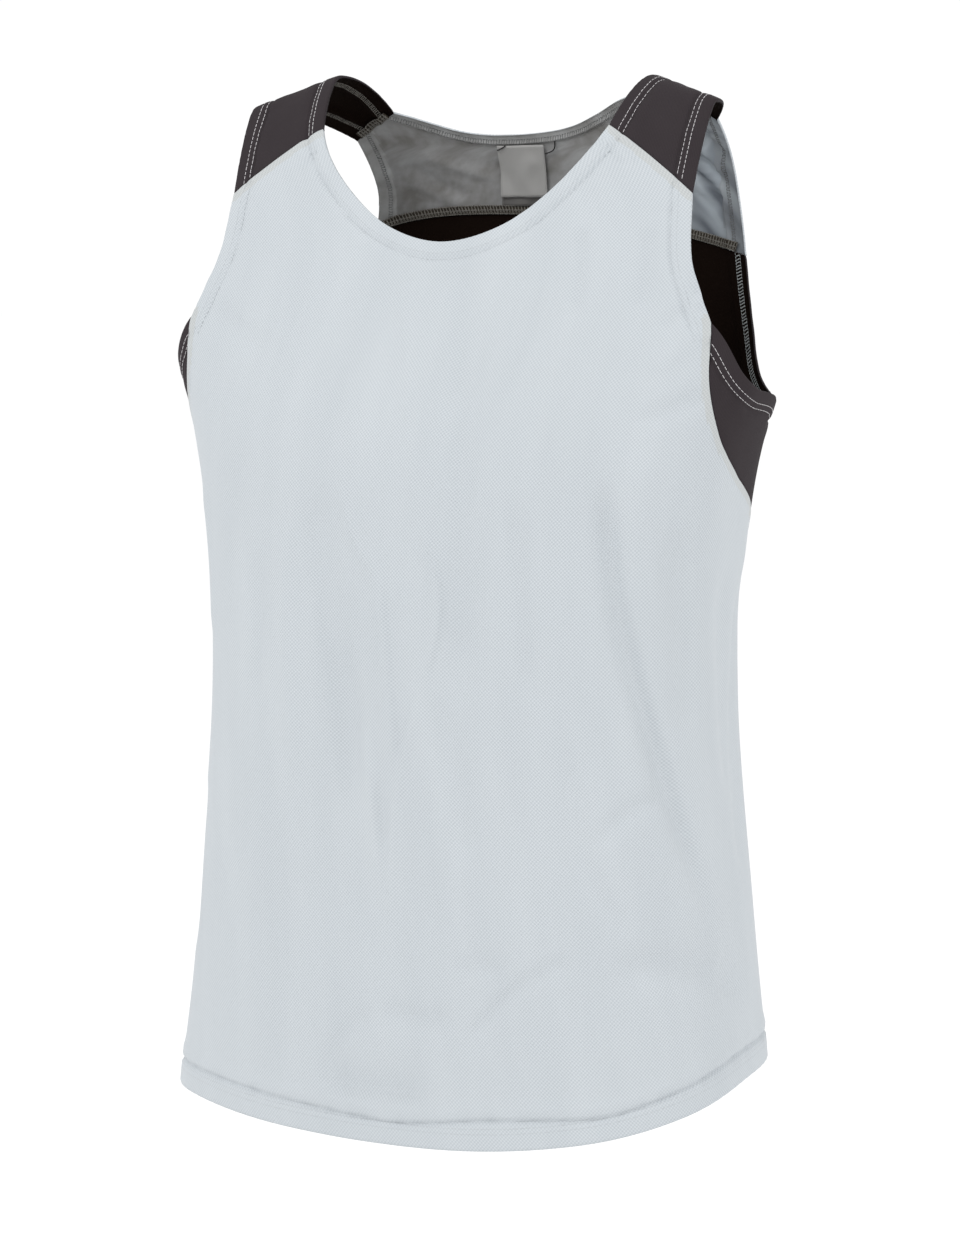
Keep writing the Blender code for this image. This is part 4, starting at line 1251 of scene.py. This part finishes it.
PALE = mesh_material("pale_mesh_outside", (0.584, 0.616, 0.640), (0.390, 0.426, 0.456), 0.85)
PALE_BORDER = mesh_material(
    "pale_mesh_border", (0.548, 0.566, 0.566), (0.385, 0.408, 0.415), 0.85)
# Inner side of the upper back: darkened copies of the pale mesh as painted shade, with painted
# light and painted sheen towards the wearer's left armhole
PALE_INSIDE_PAINTED_LIGHT_AND_SHADE = inside_material("pale_mesh_inside", (0.175, 0.170, 0.162), (0.305, 0.308, 0.310),
                              ((0.180, 0.200, 0.230), (0.480, 0.530, 0.575)))
# Inner side of the upper back's turned hems: the same painted shade, painted light and painted
# sheen
PALE_HEM_INSIDE_PAINTED_LIGHT_AND_SHADE = inside_material("pale_hem_inside", (0.215, 0.213, 0.207),
                                  (0.330, 0.334, 0.335),
                                  ((0.235, 0.252, 0.275), (0.420, 0.455, 0.485)))
# Inner side of the front: a darkened copy of the pale mesh, painted shade inside the singlet
PALE_FRONT_INSIDE_PAINTED_SHADE = mesh_material(
    "pale_front_inside", (0.300, 0.318, 0.330), (0.215, 0.232, 0.245), 0.9)
CHARCOAL = knit_material(
    "charcoal_knit_outside", (0.042, 0.035, 0.038), (0.028, 0.023, 0.0255), 0.85, sheen=0.02)
# Inner side of the charcoal knit: a darker copy, painted shade inside the singlet
CHARCOAL_INSIDE_PAINTED_SHADE = knit_material(
    "charcoal_knit_inside", (0.0085, 0.0045, 0.0030), (0.0040, 0.0020, 0.0012), 0.95)
BAND = knit_material("overlock_band", (0.060, 0.053, 0.043), (0.024, 0.019, 0.014), 0.9)
# The white neck label, darkened to grey: painted shade inside the back neck
SATIN = satin_material("white_satin_face", (0.330, 0.326, 0.318), 0.42)
# The care label behind it, darker still: painted shade behind the neck label
CARE_SATIN_PAINTED_SHADE = satin_material("thin_satin", (0.090, 0.086, 0.082), 0.5)
WHITE_THREAD = thread_material("white_thread", (0.70, 0.68, 0.69))
PALE_THREAD = thread_material("pale_thread", (0.52, 0.55, 0.575))
GREY_THREAD = thread_material("grey_thread", (0.200, 0.188, 0.166))
LIGHT_GREY_THREAD = thread_material("light_grey_thread", (0.42, 0.45, 0.45))
DULL_THREAD = thread_material("dull_thread", (0.180, 0.183, 0.183))
DARK_THREAD = thread_material("dark_thread", (0.016, 0.014, 0.014))

# ---------------------------------------------------------------- the singlet
PALES = (PALE, PALE_INSIDE_PAINTED_LIGHT_AND_SHADE, PALE_HEM_INSIDE_PAINTED_LIGHT_AND_SHADE, PALE_BORDER)
PALE_FRONTS = (PALE, PALE_FRONT_INSIDE_PAINTED_SHADE, PALE_FRONT_INSIDE_PAINTED_SHADE, PALE_BORDER)
CHARCOALS = (CHARCOAL, CHARCOAL_INSIDE_PAINTED_SHADE, CHARCOAL_INSIDE_PAINTED_SHADE, CHARCOAL)

# Each panel, with its flat cut: greatest width and length, and area.
CLOTHS = table(
    "panel slot materials cover width length area",
    (front_panel(), "pale_mesh", PALE_FRONTS, LIGHT_GREY_THREAD, 0.75, 0.67, 0.365),
    (upper_back_panel(), "pale_mesh", PALES, DULL_THREAD, 0.31, 0.12, 0.0255),
    (lower_back_panel(), "charcoal_knit", CHARCOALS, LIGHT_GREY_THREAD, 0.61, 0.58, 0.218),
    (shoulder_panel("left"), "charcoal_knit", CHARCOALS, GREY_THREAD, 0.080, 0.125, 0.0085),
    (shoulder_panel("right"), "charcoal_knit", CHARCOALS, GREY_THREAD, 0.080, 0.125, 0.0085),
)

# Pairs of needle rows on the outside: hem, distances in from its edge, stitch, gap and width.
NEEDLE_ROWS = table(
    "kind dark first second length gap width",
    ("neck", True, 0.0080, 0.0116, 0.0026, 0.0007, 0.00045),
    ("armhole", True, 0.0082, 0.0120, 0.0026, 0.0007, 0.00045),
    ("neck", False, 0.0082, 0.0122, 0.0026, 0.0010, 0.00040),
    ("back_neck", False, 0.0036, 0.0066, 0.0026, 0.0010, 0.00040),
    ("armhole", False, 0.0088, 0.0130, 0.0026, 0.0010, 0.00040),
    ("bottom", False, 0.0108, 0.0142, 0.0028, 0.0010, 0.00040),
    ("bottom", True, 0.0124, 0.0162, 0.0028, 0.0010, 0.00045),
)
DARK_STITCH_HEIGHT = 0.00022
PALE_STITCH_HEIGHT = 0.00008

# The looped side of the same seams, inside, between two distances from the edge.
COVERSTITCHES = table(
    "panel kind first last step width",
    ("front_panel", "neck", 0.0080, 0.0122, 0.0021, 0.0007),
    ("front_panel", "armhole", 0.0088, 0.0130, 0.0021, 0.0007),
    ("front_panel", "bottom", 0.0108, 0.0142, 0.0021, 0.0007),
    ("upper_back_panel", "back_neck", 0.0036, 0.0066, 0.0019, 0.0006),
    ("upper_back_panel", "armhole", 0.0074, 0.0098, 0.0017, 0.0005),
    ("lower_back_panel", "armhole", 0.0048, 0.0086, 0.0023, 0.0009),
    ("lower_back_panel", "bottom", 0.0124, 0.0162, 0.0021, 0.0007),
    ("shoulder_panel", "neck", 0.0084, 0.0112, 0.0017, 0.0006),
    ("shoulder_panel", "armhole", 0.0086, 0.0116, 0.0017, 0.0006),
)
COVER_HEIGHT = 0.0003
COVER_ROW = 0.0017, 0.0006, 0.00042         # stitch, gap and width of the rows beside it

made = {}
for cut in CLOTHS:
    panel = cut.panel
    obj = add_cloth(panel, cut.materials)
    tree = tree_of(obj)
    dark = cut.slot == "charcoal_knit"
    outside = Threads("stitching_" + panel.name, panel.surface, tree)
    inside = Threads("coverstitch_" + panel.name, panel.surface, tree)
    for number, (kind, line) in enumerate(panel.hems):
        params = panel.grid[line]
        for row in NEEDLE_ROWS:
            if (row.kind, row.dark) == (kind, dark):
                height = DARK_STITCH_HEIGHT if dark else PALE_STITCH_HEIGHT
                for distance in (row.first, row.second):
                    outside.row(params, distance, row.length, row.gap, row.width, height,
                                number + int(distance * 1e4))
        for row in COVERSTITCHES:
            if row.kind == kind and panel.name.startswith(row.panel):
                inside.across(params, row.first, row.last, row.step, row.width, COVER_HEIGHT,
                              number + 3)
                for distance in (row.first, row.last):
                    inside.row(params, distance, *COVER_ROW, COVER_HEIGHT, number + 5,
                               outside=False)
    pieces = [outside.made(WHITE_THREAD if dark else PALE_THREAD), inside.made(cut.cover)]
    made[panel.name] = (obj, pieces)

# Overlocked seam allowances on the inside.
ALLOWANCES = table(
    "panel seam width trim name",
    ("upper_back_panel", "yoke_above", 0.0066, 0.0090, "yoke"),
    ("shoulder_panel_left", "back_left_above", 0.0062, 0.0040, "back_left"),
    ("shoulder_panel_right", "back_right_above", 0.0062, 0.0040, "back_right"),
    ("front_panel", "front_left", 0.0062, 0.0120, "front_left"),
    ("front_panel", "front_right", 0.0062, 0.0120, "front_right"),
    ("front_panel", "side_left", 0.0060, 0.0135, "side_left"),
    ("front_panel", "side_right", 0.0060, 0.0135, "side_right"),
)


# The overlocking on them, in shares of their width: the zigzag, and the rows along it.
ZIGZAG_EDGES = (0.06, 0.97)
ZIGZAG = 0.0012, 0.00055, 0.00035           # step, width and height
ZIGZAG_SLANT = 0.6
OVERLOCK_ROWS = (0.08, 0.48, 0.95)
OVERLOCK_ROW = 0.0015, 0.0003, 0.0008, 0.00045      # stitch, gap, width and height
BAND_THICKNESS = 0.0006
BAND_LIFT = 0.0009              # off the cloth at the seam, and how much more at its free edge
BAND_SLOPE = 0.0004
BAND_WAVE = 0.0002


def trimmed(surface, params, length):
    """A run of params without its two ends."""
    fine, arc = dense(surface, params)
    return fine[(arc >= length) & (arc <= arc[-1] - length)]


def allowance(name, surface, tree, params, width):
    """A strip of turned-in cloth along a seam, lying on the inside."""
    edge, _ = dense(surface, params, PATH_STEP)
    shares = np.linspace(0.02, 1, 6)
    strips = []
    for share in shares:
        points, normals = cloth(surface, moved_in(surface, edge, width * share))
        for k, (point, normal) in enumerate(zip(points, normals)):
            lain = on_side(tree, point, normal, False)
            points[k] = point - normal * TURNED if lain is None else lain
        wave = BAND_WAVE * ripple(np.arange(len(points)) * PATH_STEP, 5) * share
        strips.append(points - normals * (BAND_LIFT + BAND_SLOPE * share + wave)[:, None])
    top = np.array(strips)
    low = top - cloth(surface, edge)[1] * BAND_THICKNESS
    present = np.ones((len(shares) - 1, top.shape[1] - 1), dtype=bool)
    places = np.stack(
        np.broadcast_arrays(arc_of(top[0])[None], (shares * width)[:, None]), -1)
    return shell(name, low[:, ::-1], top[:, ::-1], present, places[:, ::-1], (BAND,))


panels = {cut.panel.name: cut.panel for cut in CLOTHS}
for row in ALLOWANCES:
    panel = panels[row.panel]
    params = trimmed(panel.surface, panel.grid[panel.seams[row.seam]], row.trim)
    strip = allowance("seam_allowance_" + row.name, panel.surface, tree_of(made[row.panel][0]),
                      params, row.width)
    loops = Threads("overlock_" + row.name, panel.surface, tree_of(strip))
    zigzag_edges = [row.width * share for share in ZIGZAG_EDGES]
    loops.across(params, *zigzag_edges, *ZIGZAG, 11, slant=ZIGZAG_SLANT)
    for share in OVERLOCK_ROWS:
        loops.row(params, row.width * share, *OVERLOCK_ROW, 12, outside=False)
    made[row.panel][1].extend([strip, loops.made(GREY_THREAD)])


LABEL_POINTS = 19
LABEL_THICKNESS = 0.00035
LABEL_WAVE = 0.0003
NECK_LABEL = (0.036, 0.0366)    # width and length
CARE_LABEL = (0.032, 0.038)


def add_label(name, middle_x, top_z, size, inset, curl, material):
    """A woven label hanging inside the back neck."""
    width, length = size
    x = np.linspace(middle_x + width / 2, middle_x - width / 2, LABEL_POINTS)
    z = np.linspace(top_z - length, top_z, LABEL_POINTS)
    grid = np.stack([behind(np.stack([x, np.full(len(x), height)], -1)) for height in z])
    points, normals = cloth(form_point, grid)
    down = np.linspace(1, 0, len(z))[:, None]
    across = np.linspace(-1, 1, len(x))[None, :]
    depth = inset + curl * down**2 * (0.6 + 0.4 * across)
    depth = depth + LABEL_WAVE * np.sin(3.1 * across + 2 * down)
    top = points - normals * depth[..., None]
    low = top - normals * LABEL_THICKNESS
    places = np.stack(np.broadcast_arrays((across + 1) * width / 2, (1 - down) * length), -1)
    present = np.ones((len(z) - 1, len(x) - 1), dtype=bool)
    return shell(name, top, low, present, places, (material,))


label = add_label("bare_neck_label", -0.0280, -0.0310, NECK_LABEL, 0.0036, 0.0012, SATIN)
care = add_label("bare_care_label", -0.0300, -0.0360, CARE_LABEL, 0.0027, 0.0004, CARE_SATIN_PAINTED_SHADE)

# The ends of the thread that holds the neck label, curling out at its two upper corners.
LOOSE_ENDS = table(
    "side x z inset",
    ("left", -0.01, -0.0374, 0.003), ("left", -0.0052, -0.0361, 0.0028),
    ("left", -0.0025, -0.0342, 0.0028), ("left", -0.0015, -0.0318, 0.0027),
    ("left", -0.0014, -0.029, 0.0026), ("right", -0.0458, -0.034, 0.0046),
    ("right", -0.0434, -0.0331, 0.0046), ("right", -0.0412, -0.0321, 0.0046),
    ("right", -0.0391, -0.0308, 0.0044),
)
LOOSE_POINTS = 17
LOOSE_WIDTH = 0.0009
LOOSE_HEIGHT = 0.0006
LOOSE_OVERLAP = 0.3
ends = Threads("loose_thread_ends")
for side in SIDES:
    knots = of_side(LOOSE_ENDS, side)
    shares = np.linspace(0, 1, len(knots))
    t = np.linspace(0, 1, LOOSE_POINTS)
    x, z, inset = (smooth(shares, values, t) for values in zip(*knots))
    points, normals = cloth(form_point, behind(np.stack([x, z], -1)))
    points = points - normals * inset[:, None]
    for start, end, normal in zip(points[:-1], points[1:], normals):
        past = end + (end - start) * LOOSE_OVERLAP
        ends.stitch(start, past, -normal, LOOSE_WIDTH, LOOSE_HEIGHT)
made["upper_back_panel"][1].append(ends.made(DARK_THREAD))

for cut in CLOTHS:
    name = cut.panel.name
    obj, pieces = made[name]
    for piece in (obj, *pieces):
        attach(piece, "root")
        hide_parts(name)
for obj, node, size in ((label, "back_neck_label", NECK_LABEL),
                        (care, "care_label", CARE_LABEL)):
    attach(obj, "root")
    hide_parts(node)

# ---------------------------------------------------------------- camera, floor and light
CAMERA_TURN = math.radians(28.42)
CAMERA_DISTANCE = 2.2281
CAMERA_HEIGHT = -0.0886
CAMERA_SIDE = 0.0056
CAMERA_PITCH = math.radians(6.775)
camera_data = bpy.data.cameras.new("camera")
camera_data.sensor_width = 36.0
camera_data.lens = 96.4
camera = bpy.data.objects.new("camera", camera_data)
bpy.context.collection.objects.link(camera)
camera.location = (
    math.sin(CAMERA_TURN) * CAMERA_DISTANCE + math.cos(CAMERA_TURN) * CAMERA_SIDE,
    -math.cos(CAMERA_TURN) * CAMERA_DISTANCE + math.sin(CAMERA_TURN) * CAMERA_SIDE,
    CAMERA_HEIGHT,
)
camera.rotation_euler = (math.pi / 2 - CAMERA_PITCH, 0, CAMERA_TURN)
bpy.context.scene.camera = camera

CHEST_HEIGHT = -0.35
FLOOR_HEIGHT = -1.10
FLOOR_REACH = 30
corners = [(x * FLOOR_REACH, y * FLOOR_REACH, FLOOR_HEIGHT)
           for x, y in ((-1, -1), (1, -1), (1, 1), (-1, 1))]
white = Look("floor", (0.985, 0.985, 0.985), 0.9, specular=0.5)
floor = new_object("floor", corners, [(0, 1, 2, 3)], white.material)

world = bpy.data.worlds.new("studio")
world.use_nodes = True
world.node_tree.nodes["Background"].inputs["Color"].default_value = (1, 1, 1, 1)
world.node_tree.nodes["Background"].inputs["Strength"].default_value = 1.03
bpy.context.scene.world = world


def add_light(name, azimuth, height, distance, size, power):
    """A large soft light aimed at the chest."""
    data = bpy.data.lights.new(name, "AREA")
    data.size = size
    data.energy = power
    light = bpy.data.objects.new(name, data)
    bpy.context.collection.objects.link(light)
    turn = math.radians(azimuth)
    place = Vector((math.sin(turn) * distance, -math.cos(turn) * distance, height))
    light.location = place
    aim = Vector((0, 0, CHEST_HEIGHT)) - place
    light.rotation_euler = aim.to_track_quat("-Z", "Y").to_euler()


add_light("key", -14, 2.0, 2.2, 0.9, 27)
add_light("fill", 88, 0.35, 2.4, 1.3, 8)
bpy.context.scene.view_settings.view_transform = "Standard"
